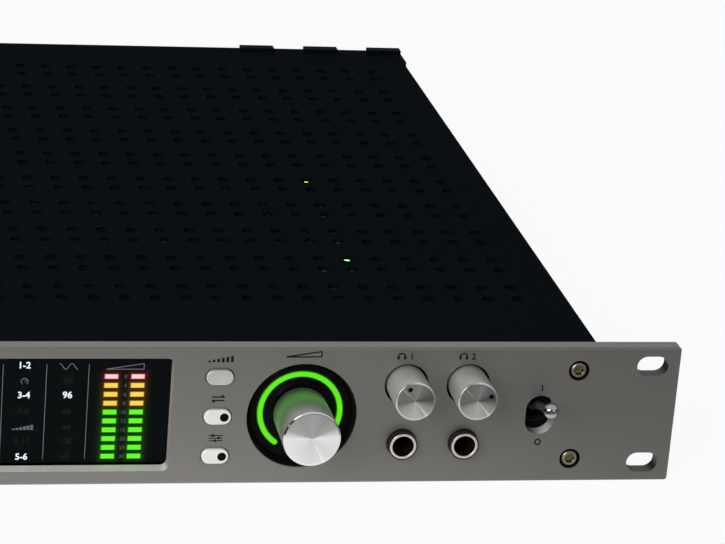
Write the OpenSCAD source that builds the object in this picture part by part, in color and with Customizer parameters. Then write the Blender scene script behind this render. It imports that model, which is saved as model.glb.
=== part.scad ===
// Rack-mounted audio interface, one unit high.
// The origin is the centre of the four rack slots on the panel's seating face.
// X runs to the right, Y to the rear and Z up, in millimetres.

/* [Front panel] */
// Width over both rack ears
panel_w = 482.6; // [476:0.1:490]
// Height of the panel
panel_h = 44; // [43:0.1:45]
// Thickness of the panel
panel_t = 4.8; // [4.2:0.1:6]
// Bevel along the front edges
panel_bevel = 0.6; // [0.2:0.1:1]
// Corner radius of the panel
panel_corner_r = 1.2; // [0.5:0.1:2]
// Distance between the rack slots, sideways
rack_span_x = 465.1; // [460:0.1:468]
// Distance between the rack slots, up and down
rack_span_z = 31.75; // [30:0.05:33]
// Length of a rack slot, end to end
rack_slot_l = 9.8; // [8:0.1:12]
// Height of a rack slot
rack_slot_h = 6.4; // [5.8:0.1:7]
// Distance of the panel screws from the side of the case
panel_screw_inset = 6.4; // [5:0.1:8]
// Height of the panel screws above and below the middle
panel_screw_z = 14.5; // [10:0.1:16]
// Diameter of a panel screw's head
panel_head_d = 5.5; // [5:0.1:6.5]
// Height of a panel screw's head
panel_head_h = 3; // [2.4:0.1:3.2]
// Diameter of a panel screw's shank
panel_shank_d = 3; // [2.5:0.1:4]
// Width of the hexagon socket across its flats
hex_key_w = 2.5; // [2:0.1:3]

/* [Case] */
// Width of the case behind the panel
case_w = 431.8; // [426:0.1:436]
// Height of the case
case_h = 42.4; // [41:0.1:43.5]
// Depth of the case behind the panel
case_d = 304.8; // [290:0.1:330]
// Thickness of the sheet metal
sheet_t = 1.2; // [1:0.1:1.6]
// Width of the rails under the cover
rail_w = 12; // [10:0.5:14]
// Diameter of a vent hole
vent_d = 4; // [3:0.1:5]
// Distance between vent holes
vent_pitch = 9.525; // [8:0.025:11]
// Distance between pairs of vent rows
vent_pair_pitch = 25.4; // [22:0.1:30]
// Distance from the panel to the first vent row
vent_first_y = 37.9; // [30:0.1:45]
// Plain margin of the cover at its sides
vent_margin_x = 12; // [8:0.5:15]
// Plain margin of the cover at its rear
vent_margin_y = 20; // [15:0.5:30]
// Depth of the rear panel's side flanges
rear_flange_d = 14; // [10:0.5:18]
// Width of a hook over the cover's rear edge
hook_w = 13; // [8:0.5:16]
// Distance between the hooks
hook_pitch = 25; // [20:0.5:30]
// Hooks at each end
hook_count = 3; // [2:1:4]
// Reach of a hook over the cover
hook_reach = 3; // [2:0.1:5]
// Diameter of a case screw's head
case_head_d = 5.6; // [5:0.1:6.5]
// Height of a case screw's head
case_head_h = 1.5; // [1:0.1:2]
// Diameter of a case screw's shank
case_shank_d = 2.9; // [2.5:0.1:3.2]
// Distance between the case screws
case_screw_pitch = 70; // [55:1:75]
// Case screws on each side
case_screw_count = 4; // [3:1:4]
// Depth of the rear flange's screw below the middle
flange_screw_drop = 8.5; // [6:0.1:10]

/* [Front layout] */
// Distance of the power lever from the side of the case
power_inset = 17.3; // [15:0.1:19]
// Distance from the power lever to the nearest phones knob
power_gap = 23.2; // [20:0.1:26]
// Distance between the phones knobs
phones_pitch = 19; // [17.5:0.1:21]
// Distance from the phones knobs to the monitor dial
dial_gap = 31.2; // [28:0.1:34]
// Distance from a dial to its buttons
button_gap = 25.6; // [23:0.1:28]
// Distance from the buttons to the display
window_gap = 13.7; // [11:0.1:16]
// Distance between button rows
button_pitch_z = 12.7; // [11:0.1:13.5]
// Distance between button columns on the left
button_pitch_x = 13.5; // [12:0.1:15]
// Height of the phones knobs above the middle
phones_knob_z = 10; // [9:0.1:12]
// Depth of the jacks below the middle
jack_drop = 9; // [8:0.1:11]

/* [Display] */
// Plain height between the display and the top of the case
window_head = 2.7; // [2.2:0.1:4]
// Plain height between the display and the bottom of the case
window_sill = 3.5; // [2.2:0.1:4]
// Corner radius of the display cut-out
window_corner_r = 2; // [1:0.1:3]
// Thickness of the display lens
lens_t = 2; // [1.5:0.1:3]
// Overlap of the lens behind the panel
lens_lap = 0.9; // [0.6:0.1:1]
// Width of a light bar
bar_w = 4.2; // [3.5:0.1:5]
// Height of a light bar
bar_h = 1.6; // [1.4:0.1:2.2]
// Distance between light bars
bar_pitch = 2.86; // [2.6:0.02:3]
// Light bars in a column
bar_count = 10; // [8:1:11]
// Height of the lowest bar above the lower edge of the display
bar_foot = 2; // [1.5:0.1:4]
// Distance of the monitor columns from the display's right end
bar_edge = 9.6; // [8:0.1:11]
// Distance between the two monitor columns
bar_column_gap = 7.9; // [7:0.1:9]
// Distance of the first channel column from the display's left end
channel_edge = 27.4; // [20:0.1:30]
// Channel columns on the left of the display
channel_count = 8; // [6:1:8]
// Distance of the last channel column from the monitor columns
channel_gap = 38; // [34:0.5:42]

/* [Dials] */
// Diameter of the dial's opening at the panel's front
dial_hole_d = 33.6; // [32:0.1:35]
// Diameter of the dial plate
dial_plate_d = 30.4; // [28:0.1:31]
// Depth of the dial plate below the panel's front
dial_recess = 3.3; // [2.5:0.1:4]
// Width of the dial plate's rear flange
dial_flange_w = 2.2; // [1.6:0.1:2.6]
// Outer diameter of the light ring
ring_d = 26.2; // [24:0.1:28]
// Width of the light ring
ring_w = 1.9; // [1.4:0.1:2.4]
// Thickness of the light ring
ring_t = 1; // [0.6:0.1:1.4]
// Sweep of the light ring in degrees
ring_sweep = 288; // [260:1:310]
// Diameter of the dial knob at its front
knob_d = 17.3; // [16:0.1:19]
// Diameter of the dial knob at its base
knob_base_d = 16.6; // [15:0.1:17.3]
// Length of the dial knob in front of the panel
knob_l = 17.4; // [14:0.1:20]
// Gap below the dial knob
knob_lift = 1; // [0.9:0.1:1.5]
// Travel of the dial when it is pushed
dial_travel = 0.6; // [0.3:0.1:0.7]
// Depth of the turned hollow in a knob's face
knob_dish = 0.4; // [0.2:0.1:0.8]
// Bright cut along a knob's rim
knob_rim = 0.5; // [0.3:0.1:0.8]
// Diameter of the control shafts
shaft_d = 6; // [5:0.1:6.5]
// Diameter of the threaded bushes
bush_d = 7.6; // [7.5:0.1:8.5]
// Width of a control's body
control_w = 12; // [11:0.5:13]
// Length of a control's body
control_l = 6.5; // [5.5:0.1:7]
// Distance of a bush's front from the face it serves
bush_lift = 0.6; // [0.4:0.1:0.8]
// Length of a shaft inside its knob
shaft_grip = 10; // [8:0.5:12]
// Length of the plunger behind a dial's shaft
plunger_l = 2; // [1.5:0.1:2.5]

/* [Phones] */
// Diameter of the phones knob at its front
phones_knob_d = 12.1; // [11:0.1:13]
// Diameter of the phones knob at its base
phones_base_d = 11.9; // [10.8:0.1:13]
// Length of the phones knob in front of the panel
phones_knob_l = 13.2; // [11:0.1:16]
// Depth of the phones knob inside the panel
phones_knob_sink = 2; // [1.5:0.1:2.5]
// Gap between the phones knob and the panel
phones_hole_gap = 0.65; // [0.4:0.05:0.9]
// Diameter of the pointer dot
dot_d = 1.5; // [1:0.1:2]
// Distance of the pointer dot from the knob's axis
dot_r = 4.3; // [3.6:0.1:4.6]
// Pointer angle of the first phones knob, clockwise from the top
phones_turn_1 = -26; // [-150:1:150]
// Pointer angle of the second phones knob, clockwise from the top
phones_turn_2 = 68; // [-150:1:150]

/* [Jacks] */
// Bore of a jack
jack_bore_d = 6.5; // [6.4:0.05:6.8]
// Diameter of a front jack's collar
collar_d = 8.9; // [8.8:0.1:10]
// Length of a front jack's collar in front of the panel
collar_l = 2.6; // [1.5:0.1:4]
// Width of the bright ring in the collar
jack_ring_w = 0.85; // [0.6:0.05:0.95]
// Height of the bright ring
jack_ring_t = 1.6; // [1:0.1:2.4]
// Width of a jack's body
jack_body_w = 15; // [13:0.5:16]
// Height of a jack's body
jack_body_h = 14; // [12:0.5:15]
// Length of a jack's body
jack_body_l = 26; // [24:0.5:30]
// Depth of a jack's bore behind the wall
jack_depth = 24; // [20:0.5:24]

/* [Buttons] */
// Width of a button
button_w = 8.2; // [7:0.1:9]
// Height of a button
button_h = 4.8; // [4:0.1:5.5]
// Height of a button above the panel
button_proud = 1; // [0.7:0.1:1.5]
// Travel of a button
button_travel = 0.6; // [0.3:0.1:0.6]
// Gap round a button
button_fit = 0.3; // [0.15:0.05:0.4]
// Width of a button's rear lip
button_lip = 0.7; // [0.5:0.1:1]
// Diameter of a button's stem
stem_d = 3.2; // [2.5:0.1:3.6]
// Diameter of a button's lamp dot
button_dot_d = 2.7; // [2:0.1:3]
// Distance of the lamp dot from the button's middle
button_dot_x = 2; // [1.5:0.1:2.2]
// Width of a button's switch
switch_w = 6; // [5:0.1:7]
// Length of a button's switch
switch_l = 3.8; // [3.4:0.1:4.5]

/* [Power switch] */
// Width of the lever's opening
power_hole_w = 8.9; // [8:0.1:10]
// Height of the lever's opening
power_hole_h = 12.7; // [12:0.1:14]
// Angle of the lever above the middle
lever_angle = 16.3; // [12:0.1:17]
// Length of the lever from its pivot to the middle of its ball
lever_l = 22.1; // [19:0.1:25]
// Diameter of the lever's ball
ball_d = 4.7; // [3.8:0.1:5]
// Diameter of the lever at its neck
lever_d = 2.8; // [2.4:0.1:3]
// Diameter of the lever where it leaves its pivot
neck_d = 2.5; // [2.1:0.1:2.8]
// Diameter of the lever's pivot ball
pivot_d = 4.8; // [4.4:0.1:5.2]
// Length of the lever's tail behind its pivot
tail_l = 3.7; // [3:0.1:4.5]
// Diameter of the lever's tail
tail_d = 1.4; // [1:0.1:1.8]
// Depth of the pivot behind the panel
pivot_y = 5; // [4.6:0.1:5.6]
// Diameter of the switch's bush
power_bush_d = 8; // [7.8:0.1:9]
// Width of the switch's body
power_body_w = 13; // [11:0.5:14]
// Length of the switch's body
power_body_l = 13; // [11:0.5:16]

/* [Boards] */
// Thickness of the circuit boards
board_t = 1.6; // [1.2:0.1:2]
// Depth of the front board behind the panel
front_board_y = 12; // [11.5:0.1:14]
// Height of the front board
front_board_h = 33; // [32:0.5:35]
// Height of the standoffs under the main board
standoff_h = 6; // [4:0.5:8]
// Diameter of a board screw's shank
board_shank_d = 2.9; // [2.5:0.1:3.2]
// Distance of the board screws from the board's edges
board_screw_inset = 8; // [6:0.5:10]
// Diameter of the standoffs and pillars
standoff_d = 6; // [5:0.1:7]
// Margin between the boards and the case sides
board_margin = 16; // [14:0.5:20]
// Gap between a board's end and what lies beyond it
board_gap = 5; // [3:0.5:8]
// Width of a heat sink
sink_w = 34; // [28:0.5:38]
// Height of a heat sink's fins
fin_h = 11; // [8:0.5:14]
// Thickness of a fin
fin_t = 1.2; // [0.8:0.1:1.6]
// Fins on a heat sink
fin_count = 9; // [6:1:10]
// Thickness of a heat sink's base
sink_base_t = 3; // [2:0.1:4]
// Distance between the heat sinks
sink_pitch = 40; // [39:0.5:44]
// Distance of the nearest heat sink to the middle from the board's right end
sink_inset = 125; // [120:1:135]
// Distance of the heat sinks from the board's front edge
sink_setback = 144; // [138:1:150]
// Width of the processors under the heat sinks
processor_w = 23; // [19:0.5:26]
// Height of the processors
processor_h = 2.2; // [1.6:0.1:3]
// Width of a chip
chip_w = 7; // [5:0.5:9]
// Length of a chip
chip_l = 10; // [8:0.5:14]
// Height of a chip
chip_h = 1.5; // [1:0.1:2.5]
// Distance of the chips from the board's front edge
chip_setback = 34; // [30:1:40]
// Distance between the two rows of chips
chip_pitch = 28; // [24:1:34]
// Chips in a row
chip_count = 11; // [7:1:13]
// Width of a relay
relay_w = 8; // [7:0.5:10]
// Length of a relay
relay_l = 15; // [12:0.5:18]
// Height of a relay
relay_h = 10; // [8:0.5:12]
// Distance of the relays from the board's front edge
relay_setback = 91; // [88:1:100]
// Number of relays
relay_count = 6; // [4:1:6]
// Diameter of a capacitor
capacitor_d = 8; // [6:0.5:9]
// Height of a capacitor
capacitor_h = 12; // [9:0.5:16]
// Distance of the last row of capacitors from the board's rear edge
capacitor_setback = 24; // [20:1:30]
// Distance between the two rows of capacitors
capacitor_pitch = 20; // [12:1:24]
// Capacitors in a row
capacitor_count = 12; // [8:1:12]
// Distance between capacitors, chips and relays in their rows
part_pitch = 22; // [20:0.5:24]
// Diameter of a status lamp
lamp_d = 2.6; // [2:0.1:3]
// Height of a status lamp
lamp_h = 3; // [2:0.1:4]
// Width of the ribbon cable
ribbon_w = 40; // [30:0.5:50]
// Thickness of the ribbon cable
ribbon_t = 0.9; // [0.6:0.1:1.2]
// Height of the ribbon cable above the middle
ribbon_z = 4; // [3:0.1:8]
// Radius of the ribbon cable's bend
ribbon_bend = 6; // [4:0.5:8]
// Distance of the ribbon cable's plug from the board's front edge
ribbon_setback = 14; // [11:0.5:18]
// Height of the ribbon cable's plugs
plug_h = 6; // [5:0.5:7]
// Width of the ribbon cable's plugs
plug_w = 8; // [6:0.5:10]

/* [Rear] */
// Length of the rear sockets behind the rear panel
socket_l = 26; // [24:0.5:30]
// Height of the rear sockets above and below the middle
socket_z = 9; // [8.5:0.1:10]
// Distance of the power inlet from the side of the case
inlet_inset = 26; // [22:0.5:30]
// Distance from the power inlet to the computer ports
computer_gap = 32; // [26:0.5:36]
// Distance from the computer ports to the optical ports
optical_gap = 24; // [20:0.5:28]
// Distance between the columns of optical ports
optical_pitch = 18; // [15:0.5:22]
// Distance from the optical ports to the clock sockets
clock_gap = 22; // [18:0.5:26]
// Distance from the clock sockets to the line jacks
line_gap = 28; // [22:0.5:32]
// Distance between the line jacks
line_pitch = 22; // [18:0.5:23]
// Columns of line jacks
line_columns = 4; // [3:1:4]
// Distance from the line jacks to the combination sockets
combo_gap = 34; // [26:0.5:38]
// Distance between the combination sockets
combo_pitch = 40; // [32:0.5:42]
// Number of combination sockets
combo_count = 4; // [2:1:4]
// Diameter of a line jack's bush
line_bush_d = 11.4; // [10:0.1:13]
// Length of a line jack's bush outside the rear panel
line_bush_l = 2.5; // [1.5:0.1:4]
// Width of a large socket's flange
flange_w = 26; // [25:0.5:28]
// Height of a large socket's flange
flange_h = 31; // [30:0.5:34]
// Thickness of a large socket's flange
flange_t = 2; // [1.5:0.1:3]
// Distance of the flange screws from the flange's edges
flange_screw_inset = 3.3; // [3:0.1:3.5]
// Diameter of a flange screw's shank
socket_shank_d = 2.6; // [2.4:0.1:2.9]
// Diameter of a flange screw's head
socket_head_d = 4.7; // [4.2:0.1:5.2]
// Diameter of a large socket's shell
shell_d = 23.6; // [22:0.1:24]
// Wall of a large socket's shell
shell_wall = 2; // [1.5:0.1:2.2]
// Width of the ring gap round a socket's insert
shell_gap = 2.1; // [1.8:0.1:2.4]
// Depth of a large socket's mouth
mouth_depth = 14; // [11:0.5:16]
// Diameter of a combination socket's pin holes
combo_pin_d = 2.7; // [2.4:0.1:2.8]
// Distance of the pin holes from the combination socket's axis
combo_pin_r = 5.6; // [5.3:0.1:5.7]
// Diameter of the power inlet's pins
inlet_pin_d = 2.4; // [1.8:0.1:2.8]
// Distance of the pins from the power inlet's axis
inlet_pin_r = 5.1; // [4.8:0.1:6]
// Diameter of a clock socket's barrel
clock_d = 9.6; // [9:0.1:10]
// Length of a clock socket's barrel
clock_l = 9; // [7:0.5:11]
// Wall of a clock socket's barrel
clock_wall = 0.8; // [0.6:0.1:1]
// Diameter of a clock socket's middle contact
clock_contact_d = 2.2; // [1.6:0.1:2.6]
// Diameter of a clock socket's side lugs
clock_lug_d = 2; // [1.6:0.1:2.4]
// Width of an optical port's mouth
optical_w = 9; // [8.4:0.1:9.6]
// Height of an optical port's mouth
optical_h = 8; // [7.4:0.1:8.6]
// Diameter of an optical port's lens
optical_lens_d = 3; // [2:0.1:3.6]
// Width of a computer port's mouth
port_w = 8.4; // [7.6:0.1:9]
// Height of a computer port's mouth
port_h = 2.6; // [2.4:0.1:3.2]
// Depth of a computer port's mouth
port_depth = 6.5; // [5:0.5:8]
// Width of a computer port's tongue
tongue_w = 6.6; // [5.6:0.1:6.8]
// Thickness of a computer port's tongue
tongue_t = 0.7; // [0.5:0.1:0.9]

/* [Fits] */
// Gap round a piece that sits in an opening
seat_fit = 0.2; // [0.1:0.05:0.3]
// Gap round a turning shaft
shaft_fit = 0.05; // [0.02:0.01:0.08]
// Gap round a screw's shank
screw_fit = 0.1; // [0.05:0.01:0.2]
// Gap round a screw's head
head_fit = 0.5; // [0.3:0.05:0.6]
// Gap round the power lever's pivot
lever_room = 0.3; // [0.2:0.05:0.4]

/* [Hidden] */
$fn = 48;
eps = 0.1;

// Levels of the case
floor_z = -case_h / 2 + sheet_t;
cover_z = case_h / 2 - sheet_t;
tray_d = case_d - sheet_t;
inner_half = case_w / 2 - sheet_t;
panel_screw_x = case_w / 2 - panel_screw_inset;

// Places on the front, from the power lever inwards
power_x = case_w / 2 - power_inset;
phones_x2 = power_x - power_gap;
phones_x1 = phones_x2 - phones_pitch;
monitor_x = phones_x1 - dial_gap;
button_x = monitor_x - button_gap;
window_half = button_x - window_gap;
window_h = case_h - window_head - window_sill;
window_z = (window_sill - window_head) / 2;
channel_span = 2 * window_half - bar_edge - bar_column_gap - channel_gap - channel_edge;
channel_pitch = channel_span / (channel_count - 1);

// The left half repeats the spacing of the right half
left_column = -button_x;
left_column_2 = left_column - button_pitch_x;
gain_x = left_column_2 - button_gap;
instrument_x1 = gain_x - dial_gap;
instrument_x2 = instrument_x1 - phones_pitch;
jack_x = [phones_x1, phones_x2, instrument_x1, instrument_x2];
button_places = [
    [button_x, button_pitch_z], [button_x, 0], [button_x, -button_pitch_z],
    [left_column, button_pitch_z], [left_column, 0], [left_column, -button_pitch_z],
    [left_column_2, button_pitch_z], [left_column_2, 0], [left_column_2, -button_pitch_z]
];

// Depths behind the panel's rear face
dial_face_y = -panel_t + dial_recess;
knob_base_y = dial_face_y - knob_lift;
phones_base_y = -panel_t + phones_knob_sink;
front_board_back = front_board_y + board_t;
jack_end_y = sheet_t + jack_body_l;
plunger_y = front_board_y - dial_travel - plunger_l - 2 * eps;

// Boards
main_z = floor_z + standoff_h;
main_top = main_z + board_t;
main_y0 = jack_end_y + board_gap;
connector_y = tray_d - socket_l;
main_y1 = connector_y - board_t - board_gap;
board_half = case_w / 2 - board_margin;
front_board_half = phones_x2 + control_w;
front_board_left = -instrument_x2 + control_w;
sink_y = main_y0 + sink_setback;
sink_x = [for (i = [0 : 2]) board_half - sink_inset + i * sink_pitch];
chip_rows = [main_y0 + chip_setback, main_y0 + chip_setback + chip_pitch];
capacitor_rows = [main_y1 - capacitor_setback, main_y1 - capacitor_setback - capacitor_pitch];
ribbon_y = main_y0 + ribbon_setback;
// Status lamps, by their distance from the board's right end and from the row of heat sinks
lamp_places = [[29, 60], [30, -23], [40, -34], [40, -51], [5, 62], [5, 34], [80, -36], [116, 60]];

// Rear places, from the power inlet towards the other end
inlet_x = case_w / 2 - inlet_inset;
computer_x = inlet_x - computer_gap;
optical_x = computer_x - optical_gap;
clock_x = optical_x - optical_pitch - clock_gap;
line_x = clock_x - line_gap;
combo_x = line_x - (line_columns - 1) * line_pitch - combo_gap;
line_places = [for (i = [0 : line_columns - 1]) for (s = [1, -1]) [line_x - i * line_pitch, s * socket_z]];
combo_places = [for (i = [0 : combo_count - 1]) combo_x - i * combo_pitch];
optical_places = [for (i = [0, 1]) for (s = [1, -1]) [optical_x - i * optical_pitch, s * socket_z]];
insert_d = shell_d - 2 * shell_wall - 2 * shell_gap;
socket_screw_x = flange_w / 2 - flange_screw_inset;
socket_screw_z = flange_h / 2 - flange_screw_inset;
optical_nose_w = optical_w + shell_wall;
optical_nose_h = optical_h + shell_wall;
port_nose_w = port_w + shell_wall / 2;
port_nose_h = port_h + shell_wall / 2;

// Places a shape on the front: its Z points out of the front and its Y is up
module facing(x, z, y = 0) {
    translate([x, y, z]) rotate([90, 0, 0]) children();
}

// Places a shape on the rear: its Z points out of the rear and its Y is up
module rearward(x, z, y = 0) {
    translate([x, y, z]) rotate([90, 0, 180]) children();
}

// Flat oblong with round ends
module pill(w, h) {
    square([w - h, h], center = true);
    for (s = [-1, 1]) translate([s * (w - h) / 2, 0]) circle(d = h);
}

// Flat rectangle with round corners
module rounded(w, h, r) {
    square([w - 2 * r, h], center = true);
    square([w, h - 2 * r], center = true);
    for (sx = [-1, 1]) for (sy = [-1, 1]) translate([sx * (w / 2 - r), sy * (h / 2 - r)]) circle(r = r);
}

// Flat band along a circle, open at the bottom, with round ends a little narrower than the band
module arc_band(d, w, sweep) {
    end_d = w - eps;
    r = d / 2 - w / 2;
    half = sweep / 2;
    reach = 2 * d;
    difference() {
        circle(d = d);
        circle(d = d - 2 * w);
        polygon([
            [0, 0],
            [reach * sin(half), reach * cos(half)],
            [0, -reach],
            [-reach * sin(half), reach * cos(half)]
        ]);
    }
    for (s = [-1, 1]) translate([s * r * sin(half), r * cos(half)]) circle(d = end_d);
}

// Rack slots, as flat shapes
module slot_shapes() {
    for (sx = [-1, 1]) for (sz = [-1, 1])
        translate([sx * rack_span_x / 2, sz * rack_span_z / 2]) pill(rack_slot_l, rack_slot_h);
}

// Copies a child to the four panel screws
module at_panel_screws() {
    for (sx = [-1, 1]) for (sz = [-1, 1]) translate([sx * panel_screw_x, 0, sz * panel_screw_z]) children();
}

// Openings through the panel for the controls, as flat shapes
module panel_shapes() {
    translate([0, window_z]) rounded(2 * window_half, window_h, window_corner_r);
    for (p = button_places) translate(p) pill(button_w + 2 * button_fit, button_h + 2 * button_fit);
    for (x = [phones_x1, phones_x2])
        translate([x, phones_knob_z]) circle(d = phones_knob_d + 2 * phones_hole_gap);
    for (x = jack_x) translate([x, -jack_drop]) circle(d = collar_d + 2 * seat_fit);
    translate([power_x, 0]) rotate(90) pill(power_hole_h, power_hole_w);
}

// Openings through the case's front wall, as flat shapes
module wall_shapes() {
    lap = lens_lap + seat_fit;
    translate([0, window_z]) square([2 * (window_half + lap), window_h + 2 * lap], center = true);
    lip = button_fit + button_lip + seat_fit;
    for (p = button_places) translate(p) pill(button_w + 2 * lip, button_h + 2 * lip);
    for (x = [monitor_x, gain_x])
        translate([x, 0]) circle(d = dial_plate_d + 2 * dial_flange_w + 2 * seat_fit);
    for (x = [phones_x1, phones_x2]) translate([x, phones_knob_z]) circle(d = bush_d + 2 * seat_fit);
    for (x = jack_x) translate([x, -jack_drop]) circle(d = collar_d + 2 * seat_fit);
    translate([power_x, 0]) circle(d = power_bush_d + 2 * seat_fit);
}

module front_panel() {
    bevel = panel_bevel * sqrt(2);
    color([0.45, 0.43, 0.41]) difference() {
        facing(0, 0) linear_extrude(panel_t) difference() {
            rounded(panel_w, panel_h, panel_corner_r);
            slot_shapes();
            panel_shapes();
        }
        for (x = [monitor_x, gain_x])
            facing(x, 0) cylinder(d1 = dial_plate_d + 2 * seat_fit, d2 = dial_hole_d, h = panel_t);
        at_panel_screws() {
            facing(0, 0, eps) cylinder(d = panel_shank_d + 2 * screw_fit, h = panel_t);
            facing(0, 0, panel_head_h + head_fit - panel_t)
                cylinder(d = panel_head_d + 2 * head_fit, h = panel_t);
        }
        for (s = [-1, 1]) {
            translate([0, -panel_t, s * panel_h / 2]) rotate([45, 0, 0])
                cube([panel_w + 2, bevel, bevel], center = true);
            translate([s * panel_w / 2, -panel_t, 0]) rotate([0, 0, 45])
                cube([bevel, bevel, panel_h + 2], center = true);
        }
    }
}

module panel_screws() {
    reach = sheet_t + panel_shank_d;
    color([0.75, 0.72, 0.62]) at_panel_screws() difference() {
        union() {
            facing(0, 0, panel_head_h + head_fit - panel_t) translate([0, 0, head_fit])
                cylinder(d = panel_head_d, h = panel_head_h);
            facing(0, 0, reach) cylinder(d = panel_shank_d, h = reach + panel_t - panel_head_h);
        }
        facing(0, 0, panel_head_h / 2 - panel_t) cylinder(d = hex_key_w * 2 / sqrt(3), h = panel_t, $fn = 6);
    }
}

// Copies a child to the screws of one side, with X pointing outwards
module at_side_screws() {
    for (i = [0 : case_screw_count - 1])
        translate([case_w / 2, case_screw_pitch * (i + 0.5), cover_z - sheet_t - rail_w / 2]) children();
}

// Copies a child to the screw of one rear flange
module at_flange_screw() {
    translate([case_w / 2, tray_d - rear_flange_d / 2, -flange_screw_drop]) children();
}

// A hole along X through the sheets under a screw's head
module side_hole() {
    rotate([0, 90, 0]) cylinder(d = case_shank_d + 2 * screw_fit, h = 8 * sheet_t, center = true);
}

module chassis_tray() {
    color([0.07, 0.08, 0.09]) difference() {
        union() {
            translate([-case_w / 2, 0, -case_h / 2]) cube([case_w, tray_d, sheet_t]);
            translate([-case_w / 2, 0, -case_h / 2]) cube([case_w, sheet_t, case_h - sheet_t]);
            for (s = [-1, 1])
                translate([s * (case_w - sheet_t) / 2 - sheet_t / 2, 0, -case_h / 2])
                    cube([sheet_t, tray_d, case_h - sheet_t]);
        }
        facing(0, 0, sheet_t + eps) linear_extrude(sheet_t + 2 * eps) wall_shapes();
        at_panel_screws() facing(0, 0, sheet_t + eps)
            cylinder(d = panel_shank_d + 2 * screw_fit, h = sheet_t + 2 * eps);
        for (s = [0, 1]) mirror([s, 0, 0]) {
            at_side_screws() side_hole();
            at_flange_screw() side_hole();
        }
    }
}

module top_cover() {
    columns = floor((case_w / 2 - vent_margin_x) / vent_pitch);
    pairs = floor((tray_d - vent_margin_y - vent_first_y - vent_pitch) / vent_pair_pitch);
    color([0.06, 0.07, 0.08]) translate([0, 0, cover_z]) linear_extrude(sheet_t) difference() {
        translate([-case_w / 2, 0]) square([case_w, tray_d]);
        for (i = [-columns : columns]) for (j = [0 : pairs]) for (k = [0, 1])
            translate([i * vent_pitch, vent_first_y + j * vent_pair_pitch + k * vent_pitch])
                circle(d = vent_d);
    }
}

module cover_rails() {
    color([0.6, 0.6, 0.58]) for (s = [0, 1]) mirror([s, 0, 0]) difference() {
        translate([inner_half, tray_d, cover_z]) rotate([90, 0, 0]) linear_extrude(tray_d - sheet_t) polygon([
            [0, 0], [-rail_w, 0], [-rail_w, -sheet_t], [-sheet_t, -sheet_t],
            [-sheet_t, -sheet_t - rail_w], [0, -sheet_t - rail_w]
        ]);
        at_side_screws() side_hole();
    }
}

// A screw along X whose head sits at the origin
module case_screw() {
    reach = 4 * sheet_t;
    rotate([0, 90, 0]) cylinder(d = case_head_d, h = case_head_h);
    translate([-reach, 0, 0]) rotate([0, 90, 0]) cylinder(d = case_shank_d, h = reach + case_head_h / 2);
}

module case_screws() {
    color([0.15, 0.15, 0.16]) for (s = [0, 1]) mirror([s, 0, 0]) {
        at_side_screws() case_screw();
        translate([sheet_t, 0, 0]) at_flange_screw() case_screw();
    }
}

module rear_panel() {
    plate_w = case_w + 2 * sheet_t;
    color([0.07, 0.08, 0.09]) difference() {
        union() {
            rearward(0, 0, tray_d) linear_extrude(sheet_t) square([plate_w, case_h], center = true);
            for (s = [0, 1]) mirror([s, 0, 0]) {
                translate([case_w / 2, tray_d - rear_flange_d, -case_h / 2])
                    cube([sheet_t, rear_flange_d + sheet_t, case_h]);
                for (i = [0 : hook_count - 1])
                    translate([plate_w / 2 - hook_w - i * hook_pitch, tray_d - hook_reach, case_h / 2])
                        cube([hook_w, hook_reach + sheet_t, sheet_t]);
            }
        }
        for (s = [0, 1]) mirror([s, 0, 0]) at_flange_screw() side_hole();
        facing(0, 0, tray_d + sheet_t + eps) linear_extrude(sheet_t + 2 * eps) {
            for (p = line_places) translate(p) circle(d = line_bush_d + 2 * seat_fit);
            for (x = concat(combo_places, [inlet_x])) translate([x, 0]) {
                circle(d = shell_d + 2 * seat_fit);
                for (s = [-1, 1]) translate([s * socket_screw_x, s * socket_screw_z])
                    circle(d = socket_shank_d + 2 * screw_fit);
            }
            for (s = [-1, 1]) translate([clock_x, s * socket_z]) circle(d = clock_d + 2 * seat_fit);
            for (p = optical_places) translate(p)
                square([optical_nose_w + 2 * seat_fit, optical_nose_h + 2 * seat_fit], center = true);
            for (s = [-1, 1]) translate([computer_x, s * socket_z])
                pill(port_nose_w + 2 * seat_fit, port_nose_h + 2 * seat_fit);
        }
    }
}

module display_window() {
    color([0.02, 0.02, 0.03]) facing(0, window_z, lens_t) linear_extrude(lens_t)
        square([2 * (window_half + lens_lap), window_h + 2 * lens_lap], center = true);
}

// Centres of the bar columns
function bar_columns() = let (right = window_half - bar_edge, left = right - bar_column_gap) concat(
    [right, left],
    [for (i = [0 : channel_count - 1]) left - channel_gap - i * channel_pitch]
);

// Copies a child to every light bar
module at_bars() {
    for (x = bar_columns()) for (i = [0 : bar_count - 1])
        translate([x, window_z - window_h / 2 + bar_foot + i * bar_pitch]) children();
}

module display_housing() {
    color([0.05, 0.05, 0.05]) facing(0, 0, front_board_y) linear_extrude(front_board_y - lens_t)
        difference() {
            translate([0, window_z]) square([2 * window_half, window_h], center = true);
            at_bars() square([bar_w + seat_fit, bar_h + seat_fit], center = true);
        }
}

module meter_bars() {
    color([0.4, 0.95, 0.1]) facing(0, 0, front_board_y) linear_extrude(front_board_y - lens_t)
        at_bars() square([bar_w, bar_h], center = true);
}

module dial_plate(x) {
    depth = sheet_t - dial_face_y;
    color([0.03, 0.03, 0.03]) facing(x, 0, sheet_t) difference() {
        union() {
            cylinder(d = dial_plate_d, h = depth);
            cylinder(d = dial_plate_d + 2 * dial_flange_w, h = sheet_t);
        }
        translate([0, 0, -eps]) cylinder(d = bush_d + 2 * seat_fit, h = depth + 2 * eps);
        translate([0, 0, depth - ring_t]) linear_extrude(ring_t + eps)
            arc_band(ring_d + 2 * seat_fit, ring_w + 2 * seat_fit, ring_sweep);
    }
}

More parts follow.
